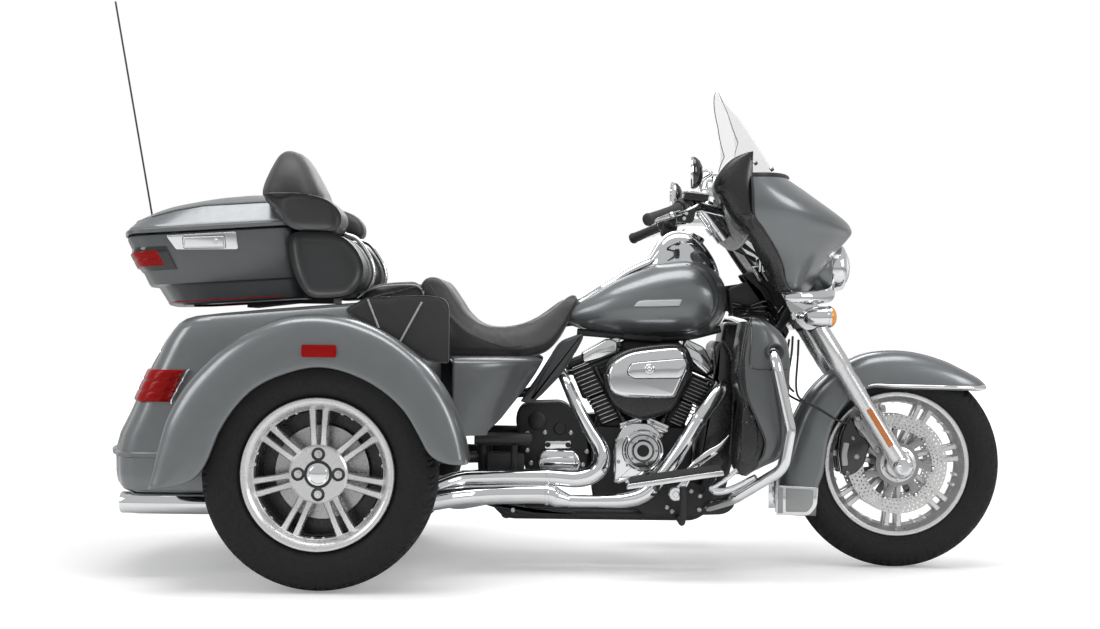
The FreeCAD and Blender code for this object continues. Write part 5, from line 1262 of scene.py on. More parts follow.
# %% Drilled rotors
def drilled(inner, outer, rows, columns, hole, thick, centre, spiral=0.5):
    """Ring of cells with round holes: corner angle = 2*pi*(column + spiral*row)/columns."""
    r = np.linspace(inner, outer, 2 * rows + 1)
    eight = np.array([(0, 0), (1, 0), (2, 0), (2, 1), (2, 2), (1, 2), (0, 2), (0, 1)])
    pairs = np.meshgrid(np.arange(rows), np.arange(columns), indexing="ij")
    row, column = (pair.reshape(-1, 1) for pair in pairs)
    radius = r[2 * row + eight[None, :, 0]]
    angle = 2 * np.pi * (column + eight[None, :, 1] / 2 + spiral * (row + eight[None, :, 0] / 2)) / columns
    corner = np.stack([radius * np.cos(angle), radius * np.sin(angle)], -1)
    heart = corner.mean(1, keepdims=True)
    ring = heart + hole * (corner - heart) / np.linalg.norm(corner - heart, axis=2, keepdims=True)
    flat = np.concatenate([corner, ring], 1).reshape(-1, 2)
    points = np.vstack([np.column_stack([flat[:, 0], np.full(len(flat), y), flat[:, 1]])
                        for y in (0, -thick)])
    start = (np.arange(rows * columns) * 16)[:, None, None]
    k = np.arange(8)
    k_next = (k + 1) % 8
    cell = start + np.stack([k, k_next, k_next + 8, k + 8], 1)[None]
    wall = start + np.stack([k + 8, k_next + 8], 1)[None]
    wall = np.concatenate([wall, wall[..., ::-1] + len(flat)], -1)
    faces = np.vstack([cell.reshape(-1, 4), (cell[..., ::-1] + len(flat)).reshape(-1, 4),
                       wall.reshape(-1, 4)])
    return points + centre, faces.tolist()


BAND_INNER, BAND_OUTER, BAND_THICK, CARRIER_ARMS = 104, 150, 5, 7
rotor_at = front_axle * (1, 0, 1) + (0, -58, 0)
band = drilled(BAND_INNER, BAND_OUTER, 4, 60, 2.6, BAND_THICK, rotor_at)
edges = [lathe([(radius, 0), (radius, BAND_THICK)], rotor_at, -Y, 120) for radius in (BAND_OUTER, BAND_INNER)]
rotor_steel = finish("rotor_steel", (0.70, 0.70, 0.69), (0.62, 0.62, 0.62), metallic=0.85, rough=(0.26, 0.36),
                     patch=180)
piece("front_rotor_bands", both(band, *edges), rotor_steel, "front_wheel", "front_rotors", crease=25)
carrier, bolts = [lathe([(52, 2), (66, 2), (66, 7), (52, 7), (52, 2)], rotor_at, -Y, 72)], []
arm = raised([(60, -9, 3), (104, -24, 4), (112, -20, 3), (112, -6, 3), (84, 6, 16), (62, 12, 4)], 2, 7, 1.2)
for k in range(CARRIER_ARMS):
    turned = turn_about(Y, 360 / CARRIER_ARMS * k)
    carrier.append(moved(arm, rotor_at * (1, 0, 1) + (0, -65, 0), turned))
    spot = turned @ (108, 0, -14)
    bolts.append(lathe([(0, 5), (4, 5), (6, 3), (6, 0)], rotor_at + spot + (0, -6, 0), -Y, 16))
carrier_metal = finish("carrier_metal", (0.34, 0.34, 0.34), (0.28, 0.28, 0.28), metallic=0.9,
                       rough=(0.3, 0.4), patch=90)
piece("rotor_carriers", both(*carrier), carrier_metal, "front_wheel")
hub = lathe([(14, 30), (34, 30), (40, 26), (44, 16), (54, 12), (54, 2)], rotor_at, -Y, 64)
for k in range(5):
    spot = turn_about(Y, 72 * k + 20) @ (44, 0, 0)
    bolts.append(lathe([(0, 20), (5, 20), (6.5, 17), (6.5, 6)], rotor_at + spot, -Y, 16))
piece("rotor_hubs", both(hub), wheel_silver, "front_wheel")
piece("rotor_bolts", both(*bolts), chrome, "front_wheel")

# %% Calipers
BODY = [(925, 466, 12), (948, 410, 14), (984, 384, 10), (972, 352, 16), (964, 318, 16), (936, 288, 16),
        (898, 280, 14), (886, 350, 20), (890, 400, 20), (906, 438, 14)]
body = [raised(BODY, -98, -66, 7), raised(BODY, -54, -40, 5)]
piece("caliper_bodies", both(*body), gloss_black, "steering", "front_calipers")
pads = even(rounded([(899, 384, 5), (917, 381, 5), (910, 348, 10), (914, 314, 5), (896, 312, 5),
                     (892, 348, 14)]), 48)
lug = [(928, 470, 14), (948, 462, 12), (1004, 388, 12), (1010, 352, 12), (994, 352, 12), (960, 402, 20),
       (926, 440, 14)]
top_lug = [(1000, 506, 12), (1022, 498, 12), (1026, 474, 10), (1004, 478, 10)]
bright = [slab(pads, -101, -96, 2), raised(lug, -112, -98, 4), raised(top_lug, -112, -98, 4)]
for spot, radius, low in (((939, 341), 10, 96), ((928, 396), 6, 96), ((912, 292), 6, 96),
                          ((939, 455), 10, 110), ((953, 424), 6, 110), ((1012, 492), 10, 110),
                          ((998, 366), 8, 110)):
    profile = [(0, 7), (radius - 3, 7), (radius, 4), (radius, 0)]
    bright.append(lathe(profile, (spot[0], -low, spot[1]), -Y, 6 if radius == 10 else 20))
piece("caliper_fittings", both(*bright), engine_silver, "steering")
HOSES = (((760, -100, 690), (756, -118, 640), (752, -116, 560), (760, -112, 520), (790, -105, 500),
          (830, -104, 480), (880, -104, 450), (918, -96, 440)),
         ((744, -90, 700), (738, -112, 650), (730, -110, 590), (732, -104, 552), (748, -98, 534)))
hoses = [tube(path, 3.4, 60, 10) for path in HOSES]
piece("brake_hoses", both(*hoses), grip_rubber, "steering")

# %% [markdown]
# ## Bars, grips and mirrors
# The handlebar itself is the measured node. The box round the measured grips says where the bar ends. From
# there the grips, the switch housings, the levers and the feet of the mirrors are worked out for the right
# side, and repeated on the left.

# %% Grips and controls
grip_low = np.array(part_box("grips")[0]) * 1000
END = np.array([grip_low[0] + 6, grip_low[1] + 12, grip_low[2] + 18])
INNER = END + np.array([100, 96, 40]) * 0.92
along = (INNER - END) / np.linalg.norm(INNER - END)
length = np.linalg.norm(INNER - END)
grip_profile = [(0, -2), (13, -2), (17, 1), (18.5, 6), (17.5, 12), (16.5, 18), (16, length * 0.5),
                (16.5, length - 10), (21, length - 4), (21, length), (13, length)]
right_grip = lathe(grip_profile, END, along, 40)
piece("grip_sleeves", both(right_grip), grip_rubber, "steering", "grips")
ring = lathe([(13, 0), (20, 0), (20, 5), (13, 5)], INNER, along, 40)
piece("grip_rings", both(ring), chrome, "steering")
housing = lathe([(14, 0), (24, 0), (27, 4), (28, 24), (27, 44), (23, 50), (14, 50)], INNER + along * 6, along,
                32)
centre = INNER + along * 32


def tilted_box(outline, low, high, at, rim):
    """A slab drawn in side view and set round a point of the bar."""
    return moved(raised(outline, low, high, rim), at)


pod = tilted_box([(-26, -42, 10), (22, -46, 10), (30, -10, 8), (20, 22, 10), (-18, 18, 10)], -26, 22, centre,
                 6)
master = tilted_box([(-6, 18, 6), (62, 14, 8), (66, 34, 6), (-4, 42, 8)], -34, 30, centre, 5)
lid = tilted_box([(-8, 40, 2), (60, 33, 2), (61, 38, 2), (-8, 45, 2)], -36, 32, centre, 1.5)
buttons = [lathe([(0, 5), (5, 5), (6, 3), (6, -4)], centre + (dx, -26, dz), -Y, 16)
           for dx, dz in ((-12, -8), (2, -20), (14, -4), (-4, -34))]
piece("switch_housings", both(housing, pod, master), black_metal, "steering", "hand_controls")
lever_path = smooth([centre + (44, -6, 20), centre + (30, -30, 4), centre + (0, -46, -12),
                     centre + (-22, -70, -22), centre + (-44, -104, -30)], 50)
lever = bar(lever_path, np.interp(np.arange(50), [0, 10, 40, 46, 49], [9, 7, 6, 8, 6]), 14, flat=0.7,
            reference=Z)
ball = lathe([(0, -9), (6, -7), (9, 0), (6, 7), (0, 9)], lever_path[-1], along, 24)
piece("levers", both(lever, ball, lid, *buttons), chrome, "steering")

# %% Mirrors
mirror_at = np.array([420, -400, 1160])
facing = np.array([-0.955, 0.10, 0.0])
facing = facing / np.linalg.norm(facing)
shell = lathe([(0, -22), (18, -20), (34, -13), (44, -3), (47, 5), (46, 9)], mirror_at, facing, 56)
rim = lathe([(43, 6), (47, 5), (49, 8), (47, 12), (43, 11), (43, 6)], mirror_at, facing, 56)
glass = lathe([(0, 9), (44, 9)], mirror_at, facing, 56)
foot = centre + (42, 10, 36)
stem = tube([foot, foot + (6, -4, 40), (464, -388, 1158), (456, -396, 1168), (438, -399, 1167)], 5, 40, 14)
collar = lathe([(0, 0), (9, 0), (10, 6), (8, 14), (6, 16)], foot - (0, 0, 8), Z, 24)
mirror_glass = finish("mirror_glass", (0.86, 0.88, 0.89), (0.84, 0.86, 0.87), metallic=1.0,
                      rough=(0.01, 0.03), patch=10)
piece("mirror_shells", both(shell), gloss_black, "steering", "mirrors")
piece("mirror_stems", both(rim, stem, collar), chrome, "steering")
piece("mirror_glasses", both(glass), mirror_glass, "steering")

# %% Risers and cables
riser = tube([(471, -62, 1082), (500, -58, 1046), (540, -52, 992)], 15, 20, 24)
clamp = lathe([(15, -16), (20, -14), (20, 14), (15, 16)], (512, -57, 1030), (0.6, 0, -0.8), 32)
piece("handlebar_risers", both(riser, clamp), chrome, "steering")
cables = []
for start, sag in (((470, -150, 1092), 0), ((478, -120, 1088), 14), ((484, -170, 1096), 26)):
    path = [start, (520 + sag, -130, 1040 - sag), (580 + sag / 2, -106, 975), (650, -88, 940 - sag / 3)]
    cables.append(tube(path, 4, 40, 10))
piece("bar_cables", both(*cables), grip_rubber, "steering")

# %% [markdown]
# ## Engine
# Two cylinders stand in a vee over the crankshaft. Places on a cylinder are given along its axis and across
# it; the fins grow outwards towards the head, and each has a machined bright edge on both sides of the
# machine. The air cleaner, the cam cover and the gearbox cover are slabs with large rounded rims, drawn from
# the side.

# %% Cylinders, fins and heads
CRANK = np.array([286.0, 0, 364.0])
HALF_VEE, FINS = 22.5, 15


def on_cylinder(way, up, out):
    """Point at a distance up the cylinder's axis and outwards across it; way is -1 for the rear cylinder."""
    vee = np.radians(HALF_VEE)
    return CRANK + (way * (np.sin(vee) * up + np.cos(vee) * out), 0, np.cos(vee) * up - np.sin(vee) * out)


def fin(way, up, reach, inner, thick, low, high, rim=1.0):
    """Slab square to the cylinder's axis: drawn across and along y, then turned with the cylinder."""
    outline = rounded([(reach, low, 12), (reach, high, 12), (inner, high, 12), (inner, low, 12)], 4)
    points, faces = slab(outline, 0, thick, rim, axis="z", steps=2)
    seats = [on_cylinder(way, up + z, x) + (0, y, 0) for x, y, z in points]
    return np.array(seats), faces


barrels, edges = [], []
for way, first, last, inner_first, inner_last, top in ((-1, 82, 112, 24, 50, 286), (1, 96, 138, 54, 66, 262)):
    for k, up in enumerate(np.linspace(104, top, FINS)):
        share = k / (FINS - 1)
        reach = first + (last - first) * share
        barrels.append(fin(way, up, reach, -52, 3.4, -95, 84))
        edges.append(fin(way, up + 0.9, reach - 3, inner_first + (inner_last - inner_first) * share, 1.7,
                         -96.5, -93, 0.3))
    barrels.append(fin(way, 98, first + 5, -40, (top - 90) / 2, -90, 70, 8))
    barrels.append(fin(way, (98 + top) / 2, last - 6, -40, (top - 90) / 2, -90, 70, 8))
    barrels.append(fin(way, top + 8, last - 2, -66, 26, -82, 82, 8))
edges = both(*edges)
CASE_TOP = [(150, 400, 20), (160, 470, 30), (226, 494, 30), (286, 466, 20), (346, 494, 30), (404, 474, 30),
            (440, 400, 30)]
CASE_BASE = [(146, 196, 30), (430, 196, 40), (452, 384, 60), (420, 424, 20), (156, 424, 20), (138, 364, 40)]
case = [raised(CASE_TOP, -74, 74, 8), raised(CASE_BASE, -90, 90, 8)]
piece("crankcase_halves", case, black_metal, "chassis", "crankcase")
piece("cylinder_fins", barrels, black_metal, "chassis", "cylinders")
piece("cylinder_fin_edges", edges, steel, "chassis")

bridge = raised([(214, 640, 16), (232, 684, 16), (398, 690, 16), (432, 650, 16)], -34, 34, 6)
piece("intake_bridge", [bridge], black_metal, "chassis")

# %% Rocker covers, pushrods and lifter blocks
ROCKERS = [[(116, 612, 8), (106, 640, 8), (188, 688, 10), (216, 680, 10), (216, 642, 10)],
           [(424, 630, 10), (488, 580, 8), (503, 600, 8), (470, 646, 12), (420, 672, 12), (404, 650, 8)]]
TOPS = [[(118, 640, 6), (176, 676, 10), (206, 692, 10), (226, 690, 6), (226, 640, 6), (180, 640, 6)],
        [(412, 660, 6), (470, 636, 10), (496, 606, 10), (504, 618, 8), (480, 664, 12), (424, 690, 8)]]
covers = [raised(outline, -90, 90, 7) for outline in ROCKERS]
covers += [raised(outline, -78, 78, 7) for outline in TOPS]
seams = [bar(at_side(smooth(line, 40), -90.5), 1.6, 8) for line in
         (((119, 624), (150, 642), (212, 652)), ((430, 640), (460, 622), (494, 592)))]
piece("rocker_cover_shells", covers + seams, chrome, "chassis", "rocker_covers", crease=30)
LIFTERS = [[(222, 420, 5), (232, 440, 6), (284, 459, 6), (294, 446, 5), (290, 432, 5), (240, 404, 8)],
           [(304, 446, 5), (314, 456, 6), (366, 430, 6), (374, 412, 5), (352, 402, 8), (308, 424, 5)]]
blocks = [raised(outline, -116, -80, 5) for outline in LIFTERS]
blocks += [bar([a, b], 6, 16) for a, b in
           (((226, -117, 430), (284, -117, 452)), ((234, -117, 416), (288, -117, 436)),
            ((312, -117, 450), (370, -117, 424)), ((316, -117, 434), (366, -117, 412)))]
rods = []
for foot, head in (((238, -104, 440), (150, -92, 600)), ((268, -104, 450), (214, -92, 640)),
                   ((326, -104, 446), (356, -92, 620)), ((352, -104, 436), (430, -92, 590))):
    way = np.subtract(head, foot)
    rods.append(lathe([(12, 0), (12, 16), (8.5, 20), (8.5, np.linalg.norm(way))], foot, way, 24))
piece("lifter_blocks", blocks, chrome, "chassis", "pushrod_tubes")
piece("pushrod_sleeves", rods, gloss_black, "chassis")

# %% Air cleaner
COVER = [(182, 569), (191, 606), (221, 632), (262, 650), (338, 661), (384, 664), (404, 658), (416, 642),
         (423, 613), (413, 578), (397, 540), (386, 519), (366, 512), (251, 514), (212, 520), (190, 536)]
BACK = [(172, 556), (183, 610), (216, 642), (262, 662), (336, 674), (396, 676), (424, 660), (436, 632),
        (441, 604), (434, 568), (412, 524), (392, 487), (370, 466), (344, 458), (298, 446), (274, 450),
        (226, 470), (192, 500)]
back = [slab(even(smooth(BACK, 160, True), 120), -150, -106, 16, steps=6)]
piece("air_cleaner_back", back, satin_black, "chassis", "air_cleaner")
cover = slab(even(smooth(COVER, 160, True), 140), -196, -146, 15, steps=7)
groove_line = rounded([(240, 586, 12), (252, 614, 12), (268, 618, 20), (412, 632, 5), (419, 613, 5),
                       (402, 574, 12), (262, 571, 14)], 8)
panel = slab(even(groove_line, 90), -200, -190, 3)
boss = lathe([(0, 8), (6, 8), (8, 6), (8, 2), (13, 2), (15, 0), (15, -6)], (308, -200, 599), -Y, 40)
piece("air_cleaner_cover", [cover, panel, boss], chrome, "chassis", crease=50)
groove = bar(at_side(even(groove_line, 120), -196.6), 1.8, 8)
piece("air_cleaner_groove", [groove], black_metal, "chassis")

# %% Cam cover
CAM = [(206, 372, 20), (226, 420, 24), (262, 440, 20), (318, 438, 24), (354, 400, 20), (354, 322, 20),
       (332, 286, 14), (222, 252, 8), (208, 258, 8)]
timing_at = (295, -126, 354)
rings = [(0, 14), (30, 14), (32, 12), (34, 9), (46, 9), (48, 12), (51, 12), (53, 8), (56, 6), (60, 6),
         (63, 0)]
screws = [lathe([(0, 17), (3.5, 17), (5, 14)], timing_at + turn_about(Y, 72 * k) @ (40, 0, 0) + (0, 6, 0), -Y,
                12) for k in range(5)]
dark_rings = [lathe([(r - 1.6, 13), (r - 1.2, 15.2), (r + 1.2, 15.2), (r + 1.6, 13), (r - 1.6, 13)],
                    timing_at, -Y, 72) for r in (29, 47)]
dark_rings.append(lathe([(0, 15.5), (17, 15.5), (19, 13)], timing_at, -Y, 48))
piece("timing_cover_rings", dark_rings, black_metal, "chassis")
piece("cam_cover_shell", [raised(CAM, -126, -92, 9, steps=6), lathe(rings, timing_at, -Y, 96)], chrome,
      "chassis", "cam_cover", crease=24)
bolts = [(216, 384), (250, 436), (322, 434), (350, 400), (352, 318), (214, 262), (270, 264), (222, 320)]
heads = bolt_heads(bolts, [(0, 6), (4, 6), (5.5, 4), (5.5, -4)], -126, 14)
piece("cam_cover_bolts", screws + heads, steel, "chassis")

# %% Gearbox covers
HOUSING = [(-88, 440, 14), (-82, 474, 16), (-50, 492, 20), (56, 496, 20), (122, 436, 20), (134, 342, 20),
           (124, 284, 14), (-52, 276, 14), (-72, 340, 20)]
GEARBOX = [(-15, 342, 8), (2, 352, 8), (90, 350, 10), (102, 338, 8), (113, 312, 10), (102, 286, 10),
           (-10, 284, 10), (-20, 318, 10)]
plates = [raised(GEARBOX, -106, -84, 9, steps=6),
          raised([(-17, 326, 12), (96, 333, 12), (97, 295, 12), (-13, 291, 12)], -112, -102, 4),
          raised([(0, 378, 7), (82, 379, 7), (79, 355, 7), (0, 352, 7)], -100, -84, 4)]
piece("gearbox_cover", plates, chrome, "chassis", crease=30)
gearbox_bolts = [(1, 403), (79, 402), (-51, 348), (128, 346), (-40, 310), (117, 306), (-52, 400), (122, 420)]
heads = bolt_heads(gearbox_bolts, [(0, 8), (5, 8), (7, 6), (7, -4)], -88, 18)
piece("gearbox_bolts", heads, steel, "chassis")
lumps = [lathe([(0, 12), (22, 12), (27, 8), (28, 0), (28, -8)], (-23, -86, 437), -Y, 48),
         lathe([(0, 8), (16, 8), (19, 5), (20, -6)], (46, -86, 414), -Y, 40),
         raised(HOUSING, -88, 86, 8)]
dark_bolts = bolt_heads([(10, 366), (71, 366)], [(0, 5), (6, 5), (8, 3), (8, -2)], -100, 20)
piece("gearbox_housing", lumps + dark_bolts, black_metal, "chassis", "transmission")

# %% Left side covers
clutch_at = np.array([120, 188, 352])
left = [lathe([(0, 10), (60, 10), (74, 8), (80, 0), (80, -8)], clutch_at, Y, 72),
        lathe([(0, 8), (44, 8), (54, 6), (58, -8)], (330, 188, 362), Y, 60)]
left_bolts = [lathe([(0, 15), (4, 15), (5.5, 12)], clutch_at + turn_about(Y, 72 * k) @ (64, 0, 0), Y, 12)
              for k in range(5)]
piece("clutch_covers", left, chrome, "chassis")
piece("clutch_cover_bolts", left_bolts, steel, "chassis")

# %% [markdown]
# ## Exhaust
# Each pipe is one bar whose radius changes along its path, since the bright outer tube is the heat shield.
# The shields end in narrow clamps, and the mufflers in a turned-in mouth with a dark inside.

# %% Pipes and mufflers
front_path = [(500, -84, 566), (520, -150, 552), (504, -196, 524), (456, -214, 456), (402, -216, 368),
              (348, -218, 290), (300, -224, 236), (240, -232, 216), (150, -238, 213), (72, -240, 213)]
rear_path = [(70, -70, 588), (52, -150, 586), (62, -206, 560), (84, -226, 512), (106, -230, 468),
             (136, -230, 416), (162, -230, 374), (170, -230, 340), (160, -230, 306), (134, -230, 286),
             (92, -230, 277), (19, -230, 281), (-80, -232, 281), (-157, -236, 279), (-240, -250, 275),
             (-310, -300, 254), (-370, -376, 224)]
joint_path = [(76, -240, 213), (40, -240, 222), (10, -240, 232), (-80, -242, 232), (-180, -254, 229),
              (-270, -300, 224), (-370, -384, 214), (-450, -395, 212)]
front_pipe = tube(front_path, ([0, 12, 24, 80, 96, 109], [19, 20, 23, 23, 18, 18]), 110, 28)
rear_pipe = tube(rear_path, ([0, 20, 44, 70, 84, 110, 139], [15, 16, 20, 27, 26, 22, 26]), 140, 28)
joint_pipe = tube(joint_path, ([0, 12, 22, 60, 89], [17, 27, 29, 29, 28]), 90, 28)
left_path = [(-170, -258, 222), (-250, -180, 200), (-290, -60, 196), (-290, 120, 196), (-300, 260, 204),
             (-370, 376, 211), (-450, 395, 212)]
left_pipe = tube(left_path, 22, 90, 24)
clamp_rings = [lathe([(radius, -5), (radius + 3, -4), (radius + 3, 4), (radius, 5)], spot, way, 40)
               for radius, spot, way in ((23, (456, -214, 456), (52, -2, 78)), (23.5, (12, -230, 281), X),
                                         (29.5, (10, -240, 232), X), (18.5, (240, -232, 216), X))]
piece("exhaust_pipes", [front_pipe, rear_pipe, joint_pipe, left_pipe, *clamp_rings], chrome, "chassis",
      "exhaust", crease=60)
mouth = [(28, 0), (31, 4), (32, 30), (32, 700), (30, 726), (30.5, 744), (29, 748), (27, 744), (27, 700)]
muffler_ends = [(-440, side * 395, 212) for side, _ in SIDES]
mufflers = [lathe(mouth, end, -X, 56) for end in muffler_ends]
piece("mufflers", mufflers, chrome, "chassis", crease=50)
insides = [lathe([(0, 690), (27.2, 690), (27.2, 730)], end, -X, 40) for end in muffler_ends]
piece("muffler_insides", insides, black_metal, "chassis")
leaf_path = smooth([(412, -240, 300), (440, -246, 322), (478, -248, 352), (512, -248, 376), (540, -244, 410)],
                   50)
leaf = bar(leaf_path, np.interp(np.arange(50), [0, 14, 30, 49], [3, 12, 12, 1.5]), 20, flat=0.45, reference=Y)
piece("front_pipe_guard", [leaf], chrome, "chassis")

# %% [markdown]
# ## Panels between the wheels
# The skirt ahead of each rear wheel rolls in at its top, under the seat. Its rows run from the body's corner,
# round the flank, to the nose; the roll is made by rows that turn inwards.

# %% Side skirts
SKIRT = [            # z, nose x, nose y, back x, back y, flank
    (412, -222, 402, -250, 418, 0.50), (411, -164, 374, -252, 426, 0.55), (424, -156, 368, -256, 429, 0.60),
    (455, -124, 340, -256, 429, 0.62), (496, -92, 312, -256, 429, 0.64), (536, -60, 284, -256, 429, 0.66),
    (582, -28, 252, -256, 428, 0.68), (612, -12, 234, -256, 424, 0.70), (624, -10, 222, -258, 412, 0.70),
    (630, -18, 204, -262, 390, 0.68), (633, -40, 186, -268, 340, 0.64), (632, -80, 160, -276, 270, 0.60),
]
rows = smooth(SKIRT, 70)
t = np.linspace(0, 1, 40)[None]
z, nose_x, nose_y, back_x, back_y, flank = (rows[:, k, None] for k in range(6))
turn_x, turn_y = nose_x - 74, nose_y + (back_y - nose_y) * flank + 24
skirt = np.stack([(1 - t) ** 2 * back_x + 2 * t * (1 - t) * turn_x + t**2 * nose_x,
                  -((1 - t) ** 2 * back_y + 2 * t * (1 - t) * turn_y + t**2 * nose_y), z + 0 * t], 2)
panel = skin(skirt)
# The skirts take the darker copy of the paint, as painted shade.
piece("side_skirt_skins", both(panel), shaded_paint, "chassis", "side_skirts", crease=60, wall=4)
COVER = [(110, 702, 10), (112, 690, 8), (100, 664, 30), (54, 586, 30), (-16, 512, 20), (-42, 494, 8),
         (-72, 500, 6), (-26, 566, 30), (8, 622, 30), (42, 676, 20)]
BEVEL = [(106, 698, 6), (102, 676, 20), (48, 590, 30), (-20, 520, 14), (-40, 504, 6), (-14, 566, 30),
         (22, 626, 30), (54, 676, 14)]
leaf = raised(COVER, -208, -198, 4)
facet = raised(BEVEL, -213, -206, 4)
piece("side_cover_panels", both(leaf, facet), charcoal, "chassis", "side_covers", crease=30)

# %% [markdown]
# ## Leg shields
# A leg shield is a shell that is open towards the rider: its rows run from the black inner box, round the
# outer flank, to the front edge and then inwards. A groove marks the lid of the box inside.

# %% Lower fairings
LOWER = [            # z, back x, front x, half width, inner half width
    (300, 574, 588, 330, 280), (313, 570, 604, 352, 250), (330, 592, 630, 376, 220),
    (354, 614, 672, 396, 200), (386, 624, 692, 404, 190), (415, 622, 694, 407, 186),
    (472, 597, 695, 410, 184), (544, 568, 696, 411, 184), (622, 560, 697, 410, 184),
    (660, 563, 694, 408, 184), (690, 568, 686, 404, 186), (717, 573, 666, 398, 192),
    (738, 578, 640, 388, 204), (750, 584, 616, 372, 226), (755, 592, 602, 346, 260),
]
rows = smooth(LOWER, 110)
z, back, ahead, half, inner = (rows[:, k, None] for k in range(5))
a = np.radians(np.linspace(0, 90, 22))[None]
flank_x = back + (ahead - back) * 0.55 * np.linspace(0, 1, 14)[None] ** 0.9
flank_y = -half - 4 * np.sin(np.linspace(0, np.pi, 14))[None]
corner_x = flank_x[:, -1:] + (ahead - flank_x[:, -1:]) * np.sin(a[:, 1:])
corner_y = -(half - 44) - 44 * np.cos(a[:, 1:])
front_y = -(half - 44) + (half - 44 - inner) * np.linspace(0, 1, 14)[None, 1:]
front_x = ahead - 30 * np.linspace(0, 1, 14)[None, 1:] ** 2
grid = np.stack([np.hstack([flank_x, corner_x, front_x]), np.hstack([flank_y, corner_y, front_y]),
                 np.repeat(z, 14 + 21 + 13, 1)], 2)
shell = skin(grid)
# The leg shields take the darker copy of the paint, as painted shade.
piece("lower_fairing_skins", both(shell), shaded_paint, "chassis", "lower_fairings", crease=50, wall=3)
LID_LINE = smooth([(584, 750), (581, 690), (577, 634), (580, 616), (596, 608), (640, 607), (687, 608)], 60)


def on_lower(line, out):
    """Points (x, z) of a side drawing set on the right leg shield's flank, pushed out a little."""
    back, ahead, half = (np.interp(line[:, 1], rows[:, 0], rows[:, k]) for k in (1, 2, 3))
    turn_at = back + (ahead - back) * 0.55
    share = np.clip((line[:, 0] - turn_at) / (ahead - turn_at), 0, 0.98)
    y = -(half - 44) - 44 * np.sqrt(1 - share**2) - 4 * (share <= 0)
    return np.column_stack([line[:, 0], y - out, line[:, 1]])


lid_groove = bar(on_lower(LID_LINE, 0.4), 1.5, 8)
edge = bar(grid[4:106, 0], 3.0, 10)
piece("lower_fairing_lines", both(lid_groove, edge), gloss_black, "chassis")
BOX = [(566, 744, 16), (552, 660, 20), (546, 600, 20), (548, 560, 16), (562, 520, 20), (572, 470, 20),
       (560, 400, 20), (548, 330, 20), (560, 300, 16), (600, 322, 14), (640, 372, 14), (652, 420, 14),
       (652, 700, 14), (620, 740, 14)]
DOOR = [(560, 470, 24), (566, 505, 16), (592, 500, 14), (606, 440, 14), (606, 380, 14), (584, 336, 14),
        (556, 344, 14)]
knobs = bolt_heads([(590, 470), (576, 452)], [(0, 6), (6, 6), (8, 4), (8, -4)], -398, 20)
box = [raised(BOX, -392, -196, 12), raised(DOOR, -398, -388, 4), *knobs]
piece("lower_inner_boxes", both(*box), satin_black, "chassis", "lower_inners")
grommet = lathe([(16, -2), (24, -2), (26, 3), (22, 6), (16, 4)], (648, -414, 656), (0.1, -1, 0.2), 32)
piece("guard_grommets", both(grommet), black_plastic, "chassis")

# %% [markdown]
# Between the two shields a dark cover hides the oil cooler and the front tubes of the frame, and a loom runs
# under the tank, over the engine.

# %% Covers ahead of the engine
COOLER = [(452, 296, 14), (556, 296, 14), (566, 520, 20), (560, 640, 20), (528, 690, 20), (500, 672, 20),
          (508, 590, 30), (470, 470, 40)]
cooler = raised(COOLER, -150, 150, 12)
wires = [tube([(96, side * 44, 706), (180, side * 52, 700), (300, side * 50, 690), (420, side * 54, 694),
               (530, side * 50, 720)], 11, 50, 12) for side in (-1, 1)]
coil = raised([(236, 684, 8), (236, 712, 8), (352, 712, 8), (352, 676, 8)], -64, 64, 6)
piece("cooler_cover", [cooler], satin_black, "chassis")
piece("top_loom", [coil, *wires], black_plastic, "chassis")

# %% [markdown]
# ## Floorboards, pedal and brackets
# A floorboard is a thin bright tray with a ribbed rubber mat. A dark web below it carries it on two stays,
# and the foot lever reaches forward from a pivot beside the web.

# %% Floorboards
tread = [(236, 264, 4), (238, 279, 4), (508, 321, 4), (512, 307, 4)]
mat = [(246, 278, 2), (245, 287, 3), (504, 327, 3), (507, 318, 2)]
board = raised(tread, -402, -284, 2)
cushion = raised(mat, -394, -290, 2)
ribs = [bar([(250, y, 288), (500, y, 327)], 3, 8) for y in range(-384, -296, 14)]
piece("floorboard_plates", both(board), chrome, "chassis", "floorboards")
piece("floorboard_mats", both(cushion, *ribs), grip_rubber, "chassis")
BRACKET = [(300, 240, 10), (420, 268, 20), (566, 234, 16), (566, 196, 16), (538, 172, 20), (304, 162, 10),
           (258, 200, 20)]
web = raised(BRACKET, -182, -168, 4)
bolt_spots = [(436, 240), (471, 244), (462, 226), (489, 201), (460, 186), (365, 191), (380, 180), (-90, 178)]
heads = bolt_heads(bolt_spots, [(0, 8), (5, 8), (7, 6), (7, -6)], -182, 18)
stay = [bar([(x, -176, foot), (x, -300, top)], 8, 14) for x, foot, top in ((330, 232, 268), (470, 240, 296))]
piece("board_brackets", [*both(web), *both(*stay)], black_metal, "chassis")
piece("bracket_bolts", both(*heads), steel, "chassis")
ARM = [(366, 250, 10), (392, 276, 10), (404, 296, 8), (428, 300, 8), (410, 262, 14), (396, 236, 10),
       (378, 228, 10)]
arm = raised(ARM, -330, -316, 4)
boss = lathe([(0, 12), (8, 12), (10, 8), (18, 8), (20, 4), (20, -8)], (380, -328, 246), -Y, 40)
rod_path = smooth([(482, -300, 261), (502, -310, 253), (540, -330, 262), (603, -372, 302)], 40)
rod = bar(rod_path, np.interp(np.arange(40), [0, 10, 39], [10, 12, 8]), 16)
toe = bar([(560, -384, 330), (560, -300, 322)], 10, 20)
lever = tube([(482, -300, 258), (520, -322, 286), (560, -330, 322)], 7, 30, 14)
piece("foot_levers", both(arm, boss, rod, lever), chrome, "chassis", "foot_controls")
piece("foot_lever_pads", both(toe), grip_rubber, "chassis")

